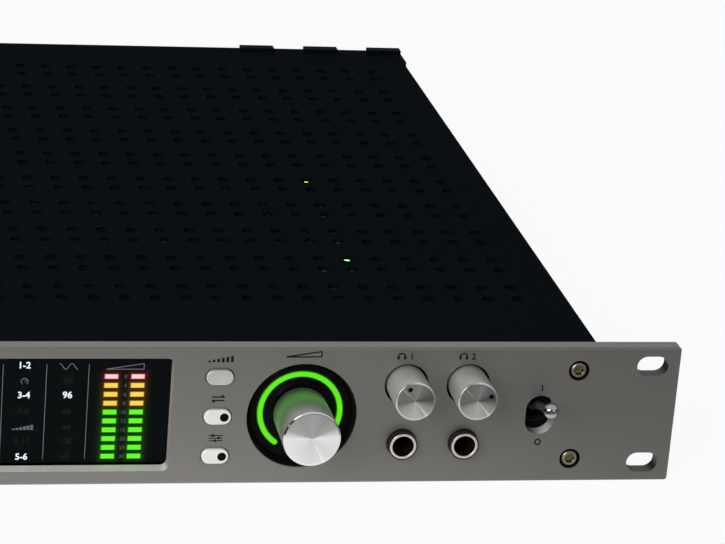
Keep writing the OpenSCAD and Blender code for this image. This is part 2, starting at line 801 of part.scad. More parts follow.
module light_ring(x) {
    color([0.35, 0.95, 0.05]) facing(x, 0, dial_face_y + ring_t) linear_extrude(ring_t)
        arc_band(ring_d, ring_w, ring_sweep);
}

// Body and bush of a rotary control, with its bore open at both ends
module control_body(x, z, bush_front) {
    length = front_board_y - bush_front;
    facing(x, z, front_board_y) difference() {
        union() {
            translate([0, 0, control_l / 2]) cube([control_w, control_w, control_l], center = true);
            cylinder(d = bush_d, h = length);
        }
        translate([0, 0, -eps]) cylinder(d = shaft_d + 2 * shaft_fit, h = length + 2 * eps);
    }
}

// A turned knob on its base: the shaft's bore, a tapered side, a bright rim and a hollow face
module turned_knob(base_d, front_d, height) {
    bore_r = shaft_d / 2 + shaft_fit;
    bore_l = shaft_grip + eps;
    rotate_extrude() polygon([
        [bore_r, 0], [base_d / 2, 0], [front_d / 2, height - knob_rim], [front_d / 2 - knob_rim, height],
        [0, height - knob_dish], [0, bore_l], [bore_r, bore_l]
    ]);
}

module dial_encoder(x) {
    color([0.55, 0.55, 0.52]) control_body(x, 0, dial_face_y + bush_lift);
}

module dial_plunger(x) {
    color([0.8, 0.78, 0.7]) facing(x, 0, plunger_y + plunger_l)
        cylinder(d = shaft_d - 2 * shaft_fit, h = plunger_l);
}

module dial_shaft(x) {
    color([0.7, 0.7, 0.7]) facing(x, 0, plunger_y)
        cylinder(d = shaft_d, h = plunger_y - knob_base_y + shaft_grip);
}

module dial_knob(x) {
    color([0.82, 0.82, 0.8]) facing(x, 0, knob_base_y)
        turned_knob(knob_base_d, knob_d, knob_l + panel_t + knob_base_y);
}

module monitor_dial_plate() { dial_plate(monitor_x); }
module monitor_light_ring() { light_ring(monitor_x); }
module monitor_encoder() { dial_encoder(monitor_x); }
module monitor_plunger() { dial_plunger(monitor_x); }
module monitor_shaft() { dial_shaft(monitor_x); }
module monitor_knob() { dial_knob(monitor_x); }
module gain_dial_plate() { dial_plate(gain_x); }
module gain_light_ring() { light_ring(gain_x); }
module gain_encoder() { dial_encoder(gain_x); }
module gain_plunger() { dial_plunger(gain_x); }
module gain_shaft() { dial_shaft(gain_x); }
module gain_knob() { dial_knob(gain_x); }

module phones_pots() {
    color([0.3, 0.32, 0.34]) for (x = [phones_x1, phones_x2])
        control_body(x, phones_knob_z, phones_base_y + bush_lift);
}

module phones_shaft(x) {
    color([0.7, 0.7, 0.7]) facing(x, phones_knob_z, front_board_y - bush_lift)
        cylinder(d = shaft_d, h = front_board_y - bush_lift - phones_base_y + shaft_grip);
}

module phones_knob(x, turn) {
    height = phones_knob_l + phones_knob_sink;
    color([0.78, 0.78, 0.76]) facing(x, phones_knob_z, phones_base_y) difference() {
        turned_knob(phones_base_d, phones_knob_d, height);
        rotate(-turn) translate([0, dot_r, height - 2 * knob_dish]) cylinder(d = dot_d, h = 2 * knob_dish);
    }
}

module phones_shaft_1() { phones_shaft(phones_x1); }
module phones_knob_1() { phones_knob(phones_x1, phones_turn_1); }
module phones_shaft_2() { phones_shaft(phones_x2); }
module phones_knob_2() { phones_knob(phones_x2, phones_turn_2); }

module front_jacks() {
    length = panel_t + collar_l + sheet_t;
    color([0.06, 0.06, 0.06]) for (x = jack_x) facing(x, -jack_drop, sheet_t) difference() {
        union() {
            translate([-jack_body_w / 2, -jack_body_h / 2, -jack_body_l])
                cube([jack_body_w, jack_body_h, jack_body_l]);
            cylinder(d = collar_d, h = length);
        }
        translate([0, 0, -jack_depth]) cylinder(d = jack_bore_d, h = jack_depth + length + eps);
        translate([0, 0, length - jack_ring_t])
            cylinder(d = jack_bore_d + 2 * jack_ring_w + 2 * shaft_fit, h = jack_ring_t + eps);
    }
}

module jack_rings() {
    color([0.75, 0.72, 0.66]) for (x = jack_x)
        facing(x, -jack_drop, jack_ring_t - panel_t - collar_l) difference() {
            cylinder(d = jack_bore_d + 2 * jack_ring_w, h = jack_ring_t + eps);
            translate([0, 0, -eps]) cylinder(d = jack_bore_d, h = jack_ring_t + 3 * eps);
        }
}

// A button: its cap, the lip that stops it behind the panel and the stem that works its switch
module button(place, dot) {
    lip = button_fit + button_lip;
    lip_t = sheet_t - seat_fit;
    stem_l = front_board_y - switch_l + button_travel;
    color([0.85, 0.85, 0.82]) facing(place[0], place[1]) difference() {
        union() {
            linear_extrude(panel_t + button_proud) pill(button_w, button_h);
            translate([0, 0, -lip_t]) linear_extrude(lip_t) pill(button_w + 2 * lip, button_h + 2 * lip);
            translate([0, 0, -stem_l]) cylinder(d = stem_d, h = stem_l);
        }
        if (dot) translate([button_dot_x, 0, panel_t + button_proud / 2])
            cylinder(d = button_dot_d, h = button_proud);
    }
}

module meter_button() { button(button_places[0], false); }
module output_button() { button(button_places[1], true); }
module function_button() { button(button_places[2], true); }
module input_button() { button(button_places[3], true); }
module low_cut_button() { button(button_places[4], true); }
module supply_button() { button(button_places[5], true); }
module pad_button() { button(button_places[6], true); }
module polarity_button() { button(button_places[7], true); }
module link_button() { button(button_places[8], true); }

module button_switches() {
    color([0.2, 0.2, 0.2]) for (p = button_places) facing(p[0], p[1], front_board_y) difference() {
        translate([-switch_w / 2, -switch_w / 2, 0]) cube([switch_w, switch_w, switch_l]);
        translate([0, 0, switch_l - 3 * button_travel])
            cylinder(d = stem_d + 2 * seat_fit, h = 4 * button_travel);
    }
}

// The pivot of the power lever
module at_pivot() {
    translate([power_x, pivot_y, 0]) rotate([90, 0, 0]) children();
}

module power_switch() {
    cavity_d = pivot_d + 2 * lever_room;
    depth = tail_l + 2 * lever_room;
    color([0.12, 0.12, 0.12]) difference() {
        union() {
            facing(power_x, 0, sheet_t + power_body_l)
                translate([-power_body_w / 2, -power_body_w / 2, 0])
                    cube([power_body_w, power_body_w, power_body_l]);
            facing(power_x, 0, sheet_t) cylinder(d = power_bush_d, h = sheet_t);
        }
        at_pivot() {
            cylinder(d1 = cavity_d, d2 = power_bush_d - 2 * lever_room, h = pivot_y + eps);
            translate([0, 0, -depth]) cylinder(d = cavity_d, h = depth + lever_room);
        }
    }
}

module power_lever() {
    color([0.85, 0.85, 0.86]) at_pivot() rotate([-lever_angle, 0, 0]) {
        sphere(d = pivot_d);
        translate([0, 0, -tail_l]) cylinder(d = tail_d, h = tail_l);
        cylinder(d1 = neck_d, d2 = lever_d, h = lever_l);
        translate([0, 0, lever_l]) sphere(d = ball_d);
    }
}

module front_board() {
    margin = 2 * seat_fit;
    color([0.05, 0.25, 0.15]) facing(0, 0, front_board_back) linear_extrude(board_t) difference() {
        translate([-front_board_left, -front_board_h / 2])
            square([front_board_left + front_board_half, front_board_h]);
        for (x = jack_x) translate([x - jack_body_w / 2 - margin, -front_board_h])
            square([jack_body_w + 2 * margin, front_board_h - jack_drop + jack_body_h / 2 + margin]);
    }
}

module front_board_pillars() {
    edge = front_board_h / 2 - standoff_d / 2;
    pillar_x = (button_x + monitor_x) / 2;
    color([0.7, 0.68, 0.6]) for (x = [pillar_x, left_column_2 - button_gap / 2]) for (s = [-1, 1])
        facing(x, s * edge, front_board_y) cylinder(d = standoff_d, h = front_board_y - sheet_t);
}

// Copies a child to the main board's screws
module at_board_screws() {
    reach = board_half - board_screw_inset;
    for (x = [-1, -1 / 3, 1 / 3, 1]) for (y = [main_y0 + board_screw_inset, main_y1 - board_screw_inset])
        translate([x * reach, y, 0]) children();
}

module main_board() {
    color([0.04, 0.2, 0.12]) difference() {
        translate([-board_half, main_y0, main_z]) cube([2 * board_half, main_y1 - main_y0, board_t]);
        at_board_screws() translate([0, 0, main_z - eps])
            cylinder(d = board_shank_d + 2 * screw_fit, h = board_t + 2 * eps);
    }
}

module board_standoffs() {
    color([0.75, 0.7, 0.5]) at_board_screws() difference() {
        translate([0, 0, floor_z]) cylinder(d = standoff_d, h = standoff_h);
        translate([0, 0, floor_z + standoff_h / 4])
            cylinder(d = board_shank_d + 2 * screw_fit, h = standoff_h);
    }
}

module board_screws() {
    grip = standoff_h / 2 + board_t;
    color([0.75, 0.75, 0.75]) at_board_screws() translate([0, 0, main_top]) {
        cylinder(d = case_head_d, h = case_head_h);
        translate([0, 0, -grip]) cylinder(d = board_shank_d, h = grip + case_head_h / 2);
    }
}

module heat_sinks() {
    step = (sink_w - fin_t) / (fin_count - 1);
    color([0.5, 0.5, 0.52]) for (x = sink_x)
        translate([x - sink_w / 2, sink_y + sink_w / 2, main_top + processor_h]) rotate([90, 0, 0])
            linear_extrude(sink_w) {
                square([sink_w, sink_base_t]);
                for (i = [0 : fin_count - 1]) translate([i * step, 0]) square([fin_t, sink_base_t + fin_h]);
            }
}

module board_chips() {
    color([0.08, 0.08, 0.08]) translate([0, 0, main_top]) {
        for (x = sink_x) translate([x - processor_w / 2, sink_y - processor_w / 2, 0])
            cube([processor_w, processor_w, processor_h]);
        for (i = [0 : chip_count - 1]) for (y = chip_rows)
            translate([(i - (chip_count - 1) / 2) * part_pitch - chip_w / 2, y, 0])
                cube([chip_w, chip_l, chip_h]);
    }
}

module board_capacitors() {
    color([0.2, 0.2, 0.3]) for (i = [0 : capacitor_count - 1]) for (y = capacitor_rows)
        translate([(i - (capacitor_count - 1) / 2) * part_pitch, y, main_top])
            cylinder(d = capacitor_d, h = capacitor_h);
}

module board_relays() {
    color([0.85, 0.85, 0.82]) for (i = [0 : relay_count - 1])
        translate([-(i + 2) * part_pitch - relay_w / 2, main_y0 + relay_setback, main_top])
            cube([relay_w, relay_l, relay_h]);
}

module status_lamps() {
    color([0.3, 0.9, 0.4]) for (p = lamp_places)
        translate([board_half - p[0], sink_y + p[1], main_top]) cylinder(d = lamp_d, h = lamp_h);
}

module ribbon_cable() {
    start = front_board_back + plug_h;
    run = ribbon_y - ribbon_bend - start;
    drop = ribbon_z - ribbon_bend - main_top - plug_h;
    color([0.55, 0.55, 0.55]) translate([-ribbon_w / 2, 0, 0]) rotate([90, 0, 90]) linear_extrude(ribbon_w) {
        translate([front_board_back, ribbon_z - plug_w / 2]) square([plug_h, plug_w]);
        translate([start - eps, ribbon_z - ribbon_t / 2]) square([run + eps, ribbon_t]);
        translate([start + run, ribbon_z - ribbon_bend]) intersection() {
            difference() {
                circle(r = ribbon_bend + ribbon_t / 2);
                circle(r = ribbon_bend - ribbon_t / 2);
            }
            square(2 * ribbon_bend);
        }
        translate([ribbon_y - ribbon_t / 2, main_top + plug_h - eps]) square([ribbon_t, drop + eps]);
        translate([ribbon_y - plug_w / 2, main_top]) square([plug_w, plug_h]);
    }
}

module connector_board() {
    color([0.04, 0.2, 0.12]) translate([-board_half, connector_y - board_t, -front_board_h / 2])
        cube([2 * board_half, board_t, front_board_h]);
}

// A socket's body between the rear panel and the connector board
module socket_body(w, h) {
    translate([-w / 2, -h / 2, -socket_l]) cube([w, h, socket_l]);
}

// Flange and shell of a large round socket, with a solid inner end
module large_shell() {
    translate([-flange_w / 2, -flange_h / 2, sheet_t]) cube([flange_w, flange_h, flange_t]);
    translate([0, 0, -socket_l]) cylinder(d = shell_d, h = socket_l + sheet_t + flange_t);
}

// Screw holes through a large socket's flange
module flange_holes() {
    for (s = [-1, 1]) translate([s * socket_screw_x, -s * socket_screw_z, 0])
        cylinder(d = socket_shank_d + 2 * screw_fit, h = sheet_t + flange_t + eps);
}

module combo_sockets() {
    front = sheet_t + flange_t;
    color([0.08, 0.08, 0.09]) for (x = combo_places) rearward(x, 0, tray_d) difference() {
        large_shell();
        flange_holes();
        translate([0, 0, front - mouth_depth]) difference() {
            cylinder(d = shell_d - 2 * shell_wall, h = mouth_depth + eps);
            cylinder(d = insert_d, h = mouth_depth + eps);
        }
        translate([0, 0, front - jack_depth]) cylinder(d = jack_bore_d, h = jack_depth + eps);
        for (a = [30, 150, 270]) rotate(a) translate([combo_pin_r, 0, front - mouth_depth])
            cylinder(d = combo_pin_d, h = mouth_depth + eps);
    }
}

module line_jacks() {
    front = sheet_t + line_bush_l;
    color([0.08, 0.08, 0.09]) for (p = line_places) rearward(p[0], p[1], tray_d) difference() {
        union() {
            socket_body(jack_body_w, jack_body_w);
            cylinder(d = line_bush_d, h = front);
        }
        translate([0, 0, -jack_depth + front]) cylinder(d = jack_bore_d, h = jack_depth + eps);
    }
}

module clock_sockets() {
    front = sheet_t + clock_l;
    color([0.75, 0.73, 0.68]) for (s = [-1, 1]) rearward(clock_x, s * socket_z, tray_d) {
        difference() {
            union() {
                socket_body(jack_body_w, jack_body_w);
                cylinder(d = clock_d, h = front);
                translate([0, 0, front - 2 * clock_lug_d]) rotate([0, 90, 0])
                    cylinder(d = clock_lug_d, h = clock_d + clock_lug_d, center = true);
            }
            translate([0, 0, sheet_t]) cylinder(d = clock_d - 2 * clock_wall, h = clock_l + eps);
        }
        cylinder(d = clock_contact_d, h = front - clock_lug_d);
    }
}

module optical_ports() {
    color([0.1, 0.1, 0.1]) for (p = optical_places) rearward(p[0], p[1], tray_d) {
        difference() {
            union() {
                socket_body(optical_nose_w + shell_wall, optical_nose_h + shell_wall);
                linear_extrude(sheet_t + seat_fit) square([optical_nose_w, optical_nose_h], center = true);
            }
            translate([0, 0, sheet_t - mouth_depth]) linear_extrude(mouth_depth + shell_wall)
                square([optical_w, optical_h], center = true);
        }
        translate([0, 0, -mouth_depth]) cylinder(d = optical_lens_d, h = optical_lens_d);
    }
}

module computer_ports() {
    color([0.6, 0.6, 0.62]) for (s = [-1, 1]) rearward(computer_x, s * socket_z, tray_d) {
        difference() {
            union() {
                socket_body(port_nose_w + 2 * shell_wall, port_nose_h + 2 * shell_wall);
                linear_extrude(sheet_t + seat_fit) pill(port_nose_w, port_nose_h);
            }
            translate([0, 0, sheet_t - port_depth]) linear_extrude(port_depth + shell_wall)
                pill(port_w, port_h);
        }
        translate([0, 0, -port_depth]) linear_extrude(port_depth) square([tongue_w, tongue_t], center = true);
    }
}

module power_inlet() {
    front = sheet_t + flange_t;
    color([0.08, 0.08, 0.09]) rearward(inlet_x, 0, tray_d) {
        difference() {
            large_shell();
            flange_holes();
            translate([0, 0, front - mouth_depth])
                cylinder(d = shell_d - 2 * shell_wall, h = mouth_depth + eps);
        }
        for (a = [45 : 90 : 315]) rotate(a) translate([inlet_pin_r, 0, front - mouth_depth - inlet_pin_d])
            cylinder(d = inlet_pin_d, h = mouth_depth);
    }
}

module socket_screws() {
    reach = flange_t + 3 * sheet_t;
    color([0.2, 0.2, 0.2]) for (x = concat(combo_places, [inlet_x])) for (s = [-1, 1])
        rearward(x, 0, tray_d + sheet_t + flange_t) translate([s * socket_screw_x, -s * socket_screw_z, 0]) {
            cylinder(d = socket_head_d, h = case_head_h);
            translate([0, 0, -reach]) cylinder(d = socket_shank_d, h = reach + case_head_h / 2);
        }
}

front_panel();
panel_screws();
chassis_tray();
top_cover();
cover_rails();
case_screws();
rear_panel();
display_window();
display_housing();
meter_bars();
monitor_dial_plate();
monitor_light_ring();
monitor_encoder();
monitor_plunger();
monitor_shaft();
monitor_knob();
gain_dial_plate();
gain_light_ring();
gain_encoder();
gain_plunger();
gain_shaft();
gain_knob();
phones_pots();
phones_shaft_1();
phones_knob_1();
phones_shaft_2();
phones_knob_2();
front_jacks();
jack_rings();
meter_button();
output_button();
function_button();
input_button();
low_cut_button();
supply_button();
pad_button();
polarity_button();
link_button();
button_switches();
power_switch();
power_lever();
front_board();
front_board_pillars();
main_board();
board_standoffs();
board_screws();
heat_sinks();
board_chips();
board_capacitors();
board_relays();
status_lamps();
ribbon_cable();
connector_board();
combo_sockets();
line_jacks();
clock_sockets();
optical_ports();
computer_ports();
power_inlet();
socket_screws();
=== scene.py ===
"""Dresses the construction model of a rack-mounted audio interface.

Shapes are worked out in millimetres in the construction model's own frame,
with X to the right, Y to the rear and Z up, and become metres in the mesh.
"""

import math
from functools import partialmethod

import bmesh
import bpy
import numpy as np
from bpy.props import FloatProperty, FloatVectorProperty, PointerProperty
from mathutils import Matrix, Vector


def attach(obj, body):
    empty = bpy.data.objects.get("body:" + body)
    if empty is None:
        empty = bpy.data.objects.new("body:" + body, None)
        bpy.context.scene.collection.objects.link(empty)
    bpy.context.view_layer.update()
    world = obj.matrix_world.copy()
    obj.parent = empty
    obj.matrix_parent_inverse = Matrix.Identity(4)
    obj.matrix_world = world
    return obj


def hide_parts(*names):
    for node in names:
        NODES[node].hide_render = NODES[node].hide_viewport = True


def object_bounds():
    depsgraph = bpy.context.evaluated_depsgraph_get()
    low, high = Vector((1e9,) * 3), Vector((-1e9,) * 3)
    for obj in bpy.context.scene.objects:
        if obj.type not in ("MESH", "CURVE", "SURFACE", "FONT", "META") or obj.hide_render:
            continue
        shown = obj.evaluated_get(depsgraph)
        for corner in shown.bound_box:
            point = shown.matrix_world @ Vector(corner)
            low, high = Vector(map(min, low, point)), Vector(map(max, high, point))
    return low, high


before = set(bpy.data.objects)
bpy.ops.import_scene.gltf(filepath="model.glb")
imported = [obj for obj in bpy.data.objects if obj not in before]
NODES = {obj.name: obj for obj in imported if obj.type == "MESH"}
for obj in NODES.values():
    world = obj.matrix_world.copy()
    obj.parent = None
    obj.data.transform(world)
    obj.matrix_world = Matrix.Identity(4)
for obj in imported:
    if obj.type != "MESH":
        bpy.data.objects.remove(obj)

bl_info = {
    "name": "Rack audio interface",
    "version": (1, 0, 0),
    "blender": (4, 5, 0),
    "location": "View3D > Sidebar > Interface",
    "description": "Dresses the construction model of a rack-mounted audio interface",
    "category": "Object",
}

MM = 0.001
CAD_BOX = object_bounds()
CASE = "case"
FRONT = (0.0, -1.0, 0.0)
REAR = (0.0, 1.0, 0.0)
UP = (0.0, 0.0, 1.0)
WHITE = (1.0, 1.0, 1.0, 1.0)
DONE = {"FINISHED"}
BUTTON_SIGNS = {
    "meter_button": "bars", "output_button": "swap", "function_button": "sliders",
    "input_button": "enter", "low_cut_button": "slope", "supply_button": "plus",
    "pad_button": "minus", "polarity_button": "crossed", "link_button": "links"}


# Places in the construction model

def points_of(mesh):
    """The corners of a mesh as rows of x, y and z."""
    flat = np.empty(len(mesh.vertices) * 3, np.float32)
    mesh.vertices.foreach_get("co", flat)
    return flat.reshape(-1, 3).astype(float)


def corners(node):
    """Every corner of a construction node, in millimetres."""
    return points_of(NODES[node].data) / MM


def extent(node):
    """Lowest and highest corner of a construction node's box, in millimetres."""
    points = corners(node)
    return points.min(axis=0), points.max(axis=0)


def middle_of(node):
    """Middle of a construction node's box, in millimetres."""
    low, high = extent(node)
    return (low + high) / 2


def seated(low, high, axis, level):
    """Middle of a box, moved along one axis to a level."""
    place = (low + high) / 2
    place[axis] = level
    return place


def solids(node, gaps):
    """Boxes of a node's separate solids, told apart where the corners leave a gap along an axis."""
    groups = [corners(node)]
    for axis, gap in gaps:
        split = []
        for group in groups:
            ordered = group[np.argsort(group[:, axis], kind="stable")]
            split += np.split(ordered, np.where(np.diff(ordered[:, axis]) > gap)[0] + 1)
        groups = split
    return [(group.min(axis=0), group.max(axis=0)) for group in groups]


def bands(node, axis):
    """Low and high edge of each band of a grid of equal boxes along an axis."""
    return np.unique(np.round(corners(node)[:, axis], 2)).reshape(-1, 2)


# Settings

def size_of(name, millimetres, description):
    """A length property, given in millimetres."""
    return FloatProperty(name=name, description=description, default=millimetres * MM,
                         min=0.0, unit="LENGTH", precision=5)


def colour_of(name, shade, description):
    """A colour property."""
    return FloatVectorProperty(name=name, description=description, default=shade,
                               min=0.0, max=1.0, size=3, subtype="COLOR")


class InterfaceSizes(bpy.types.PropertyGroup):
    """Sizes of the details that the finish adds."""

    rim_cut: size_of("Rim cut", 0.5, "Width of the bright cut round a knob's face")
    knob_dish: size_of("Knob dish", 0.4, "Depth of the hollow in a knob's face")
    knob_bore: size_of("Knob bore", 3.05, "Radius of a knob's shaft hole")
    knob_grip: size_of("Knob grip", 10.0, "Depth of a knob's shaft hole")
    dial_taper: size_of("Dial taper", 0.35, "Radius that a dial knob loses towards its base")
    phones_taper: size_of("Phones taper", 0.1, "Radius that a phones knob loses at its base")
    groove: size_of("Groove", 0.16, "Distance between the turned grooves of a knob's face")
    pointer_dot: size_of("Pointer dot", 1.5, "Diameter of the dot on a phones knob")
    pointer_reach: size_of("Pointer reach", 4.3, "Distance of that dot from the knob's axis")
    button_width: size_of("Button width", 8.2, "Width of a button's cap")
    button_height: size_of("Button height", 4.8, "Height of a button's cap")
    button_round: size_of("Button round", 0.55, "Rounding of a button's front edge")
    button_stem: size_of("Button stem", 3.2, "Diameter of a button's stem")
    button_dot: size_of("Button dot", 2.7, "Diameter of a button's lamp dot")
    dot_shift: size_of("Dot shift", 2.0, "Distance of the lamp dot from the button's middle")
    screw_key: size_of("Screw key", 2.5, "Width of a panel screw's socket across its flats")
    stroke: size_of("Stroke", 0.42, "Width of a printed stroke")
    ink: size_of("Ink", 0.02, "Thickness of the printed marks")
    vent_width: size_of("Vent width", 4.0, "Diameter of a vent")
    vent_pitch: size_of("Vent pitch", 9.525, "Distance between neighbouring vents")
    vent_rows: size_of("Vent rows", 25.4, "Distance between the double rows of vents")
    vent_start: size_of("Vent start", 37.9, "Distance of the first row from the panel")
    vent_margin_x: size_of("Side margin", 12.0, "Least distance of a vent from the cover's side")
    vent_margin_y: size_of("Rear margin", 20.0, "Least distance of a vent from the cover's rear")
    lens_back: size_of("Lens back", 0.12, "Air between the lens and the light bars")


class InterfaceColours(bpy.types.PropertyGroup):
    """Colours of the finishes."""

    panel: colour_of("Panel", (0.186, 0.179, 0.169), "Anodised front panel")
    bare: colour_of("Bare metal", (0.74, 0.73, 0.68), "Walls of the display's and lever's openings")
    cover: colour_of("Cover", (0.0046, 0.0067, 0.0084), "Painted cover and case")
    knob: colour_of("Knob", (0.96, 0.96, 0.94), "Turned aluminium of the dial knobs")
    phones: colour_of("Phones knob", (0.80, 0.815, 0.765), "Turned aluminium of the phones knobs")
    button: colour_of("Button", (0.80, 0.80, 0.76), "Moulded buttons")
    nickel: colour_of("Nickel", (0.62, 0.56, 0.47), "Plated rings and barrels")
    screw: colour_of("Screw socket", (0.13, 0.118, 0.055), "Plating in the panel screws' sockets")
    chrome: colour_of("Chrome", (0.50, 0.50, 0.51), "Power lever")
    plastic: colour_of("Black plastic", (0.008, 0.008, 0.008), "Jacks, sockets and dial plates")
    ink: colour_of("Ink", (0.006, 0.0055, 0.005), "Printed marks")
    board: colour_of("Board", (0.012, 0.060, 0.030), "Circuit boards")
    green: colour_of("Green light", (0.118, 0.88, 0.006), "Light ring and lower bars")
    amber: colour_of("Amber light", (1.0, 0.46, 0.030), "Upper bars")
    red: colour_of("Red light", (1.0, 0.09, 0.10), "Highest bar")
    white: colour_of("White light", (0.95, 0.97, 1.0), "Lit figures of the display")


def sizes():
    """The sizes in millimetres, by name."""
    held = bpy.context.scene.interface_sizes
    return {key: getattr(held, key) / MM for key in InterfaceSizes.__annotations__}


def shades():
    """The colours, by name."""
    return bpy.context.scene.interface_colours


# Surfaces from arrays

def cells(rows, columns, wrap_rows=False, wrap_columns=True):
    """Corner numbers of each quad between neighbouring rows and columns of a grid of points."""
    grid = np.arange(rows * columns).reshape(rows, columns)
    if wrap_rows:
        grid = np.concatenate([grid, grid[:1]])
    if wrap_columns:
        grid = np.concatenate([grid, grid[:, :1]], axis=1)
    quads = [grid[:-1, :-1], grid[:-1, 1:], grid[1:, 1:], grid[1:, :-1]]
    return np.stack(quads, axis=-1).reshape(-1, 4).tolist()


def soften(outline, radii, steps=6):
    """An outline with its inner corners eased: each becomes a quadratic blend that starts
    a radius before it."""
    outline = np.asarray(outline, float)
    share = np.linspace(0.0, 1.0, steps)[:, None]
    pieces = [outline[:1]]
    for before, corner, after, radius in zip(outline, outline[1:], outline[2:], radii):
        if radius <= 0.0:
            pieces.append(corner[None])
            continue
        back, on = (corner + (side - corner) * min(0.5, radius / np.linalg.norm(side - corner))
                    for side in (before, after))
        pieces.append((1 - share) ** 2 * back + 2 * share * (1 - share) * corner + share ** 2 * on)
    pieces.append(outline[-1:])
    return np.concatenate(pieces)


def turned(outline, centre, axis=FRONT, sides=72, closed=False):
    """A lathe shape: an outline point (radius, reach) makes a circle of that radius, that far
    along the axis. A third value of 1 makes it a hexagon with that radius to its flats."""
    outline = np.asarray(outline, float)
    if outline.shape[1] == 2:
        outline = np.column_stack([outline, np.zeros(len(outline))])
    axis = np.asarray(axis, float)
    across = np.cross(UP if abs(axis[2]) < 0.9 else REAR, axis)
    above = np.cross(axis, across)
    angle = np.linspace(0.0, 2 * np.pi, sides, endpoint=False)
    circle = np.cos(angle)[:, None] * across + np.sin(angle)[:, None] * above
    flats = 1.0 / np.cos(angle % (np.pi / 3) - np.pi / 6) - 1.0
    radius = outline[:, :1] * (1.0 + outline[:, 2:3] * flats)
    points = np.asarray(centre, float) + radius[:, :, None] * circle
    points += outline[:, 1, None, None] * axis
    return points.reshape(-1, 3), cells(len(outline), sides, wrap_rows=closed)


def stacked(outline, width, height, corner, centre, steps=12):
    """Stacked rounded rectangles: an outline point (inset, reach) makes one, drawn in that much
    and that far forward. The first and last are closed with a flat face."""
    outline = np.asarray(outline, float)
    turn = np.linspace(0.0, np.pi / 2, steps)
    angle = np.concatenate([turn + quarter * np.pi / 2 for quarter in range(4)])
    side_x = np.repeat([1.0, -1.0, -1.0, 1.0], steps) * (width / 2 - corner)
    side_z = np.repeat([1.0, 1.0, -1.0, -1.0], steps) * (height / 2 - corner)
    radius = corner - outline[:, :1]
    x = centre[0] + side_x + radius * np.cos(angle)
    z = centre[2] + side_z + radius * np.sin(angle)
    y = np.repeat(centre[1] - outline[:, 1:2], 4 * steps, axis=1)
    count = len(outline) * 4 * steps
    ends = [list(range(4 * steps)), list(range(count - 4 * steps, count))]
    return np.stack([x, y, z], axis=-1).reshape(-1, 3), cells(len(outline), 4 * steps) + ends


def stroke_along(path, width, face, depth, closed=False):
    """A flat stroke in front of the plane y = face: a rectangle of the given width carried
    along (x, z) points."""
    path = np.asarray(path, float)
    ahead = np.roll(path, -1, axis=0) - path
    behind = path - np.roll(path, 1, axis=0)
    if not closed:
        ahead[-1], behind[0] = behind[-1], ahead[0]
    ahead /= np.linalg.norm(ahead, axis=1, keepdims=True)
    behind /= np.linalg.norm(behind, axis=1, keepdims=True)
    along = ahead + behind
    along /= np.linalg.norm(along, axis=1, keepdims=True)
    mitre = np.clip((along * ahead).sum(axis=1), 0.5, 1.0)
    offset = np.column_stack([-along[:, 1], along[:, 0]]) * (width / 2 / mitre)[:, None]
    edges = ((path + offset, face - depth), (path - offset, face - depth),
             (path - offset, face), (path + offset, face))
    points = np.stack([np.column_stack([edge[:, 0], np.full(len(path), y), edge[:, 1]])
                       for edge, y in edges], axis=1)
    quads = cells(len(path), 4, wrap_rows=closed)
    if not closed:
        last = 4 * len(path) - 4
        quads += [[0, 1, 2, 3], [last + 3, last + 2, last + 1, last]]
    return points.reshape(-1, 3), quads


def figure(text, height, place, face, depth):
    """Plain digits of the built-in typeface, made a mesh and set upright in front of the plane
    y = face."""
    curve = bpy.data.curves.new("figure", "FONT")
    curve.body, curve.align_x, curve.size = text, "CENTER", height
    curve.extrude, curve.offset, curve.resolution_u = depth / 2, height * 0.02, 4
    holder = bpy.data.objects.new("figure", curve)
    bpy.context.scene.collection.objects.link(holder)
    mesh = holder.evaluated_get(bpy.context.evaluated_depsgraph_get()).to_mesh()
    flat = points_of(mesh)
    faces = [list(polygon.vertices) for polygon in mesh.polygons]
    bpy.data.objects.remove(holder)
    bpy.data.curves.remove(curve)
    low, high = flat.min(axis=0), flat.max(axis=0)
    flat[:, :2] = (flat[:, :2] - (low[:2] + high[:2]) / 2) * height / (high[1] - low[1])
    points = np.column_stack([place[0] + flat[:, 0], face - depth / 2 - flat[:, 2],
                              place[1] + flat[:, 1]])
    return points, faces


def make_piece(name, parts, finishes, body=CASE, stands_for=(), sharp=35.0):
    """One object from parts (points, faces, finish number), with seams and poles closed and
    faces turned outwards."""
    points, faces, numbers, start = [], [], [], 0
    for part in parts:
        points.append(part[0])
        faces += [[corner + start for corner in face] for face in part[1]]
        numbers += [part[2] if len(part) > 2 else 0] * len(part[1])
        start += len(part[0])
    mesh = bpy.data.meshes.new(name)
    mesh.from_pydata(np.concatenate(points) * MM, [], faces)
    mesh.polygons.foreach_set("material_index", np.array(numbers, np.int32))
    work = bmesh.new()
    work.from_mesh(mesh)
    bmesh.ops.remove_doubles(work, verts=work.verts, dist=2e-7)
    bmesh.ops.dissolve_degenerate(work, edges=work.edges, dist=1e-7)
    bmesh.ops.recalc_face_normals(work, faces=work.faces)
    work.to_mesh(mesh)
    work.free()
    mesh.polygons.foreach_set("use_smooth", np.ones(len(mesh.polygons), bool))
    mesh.set_sharp_from_angle(angle=math.radians(sharp))
    piece = bpy.data.objects.new(name, mesh)
    bpy.context.scene.collection.objects.link(piece)
    for finish in finishes:
        mesh.materials.append(finish)
    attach(piece, body)
    if stands_for:
        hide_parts(*stands_for)
    return piece


# Shader helpers

def fill(node, inputs):
    """Fills a node's inputs with plain values, or with links from sockets and levels."""
    for key, value in inputs.items():
        value = getattr(value, "socket", value)
        if isinstance(value, bpy.types.NodeSocket):
            node.id_data.links.new(value, node.inputs[key])
        else:
            node.inputs[key].default_value = value


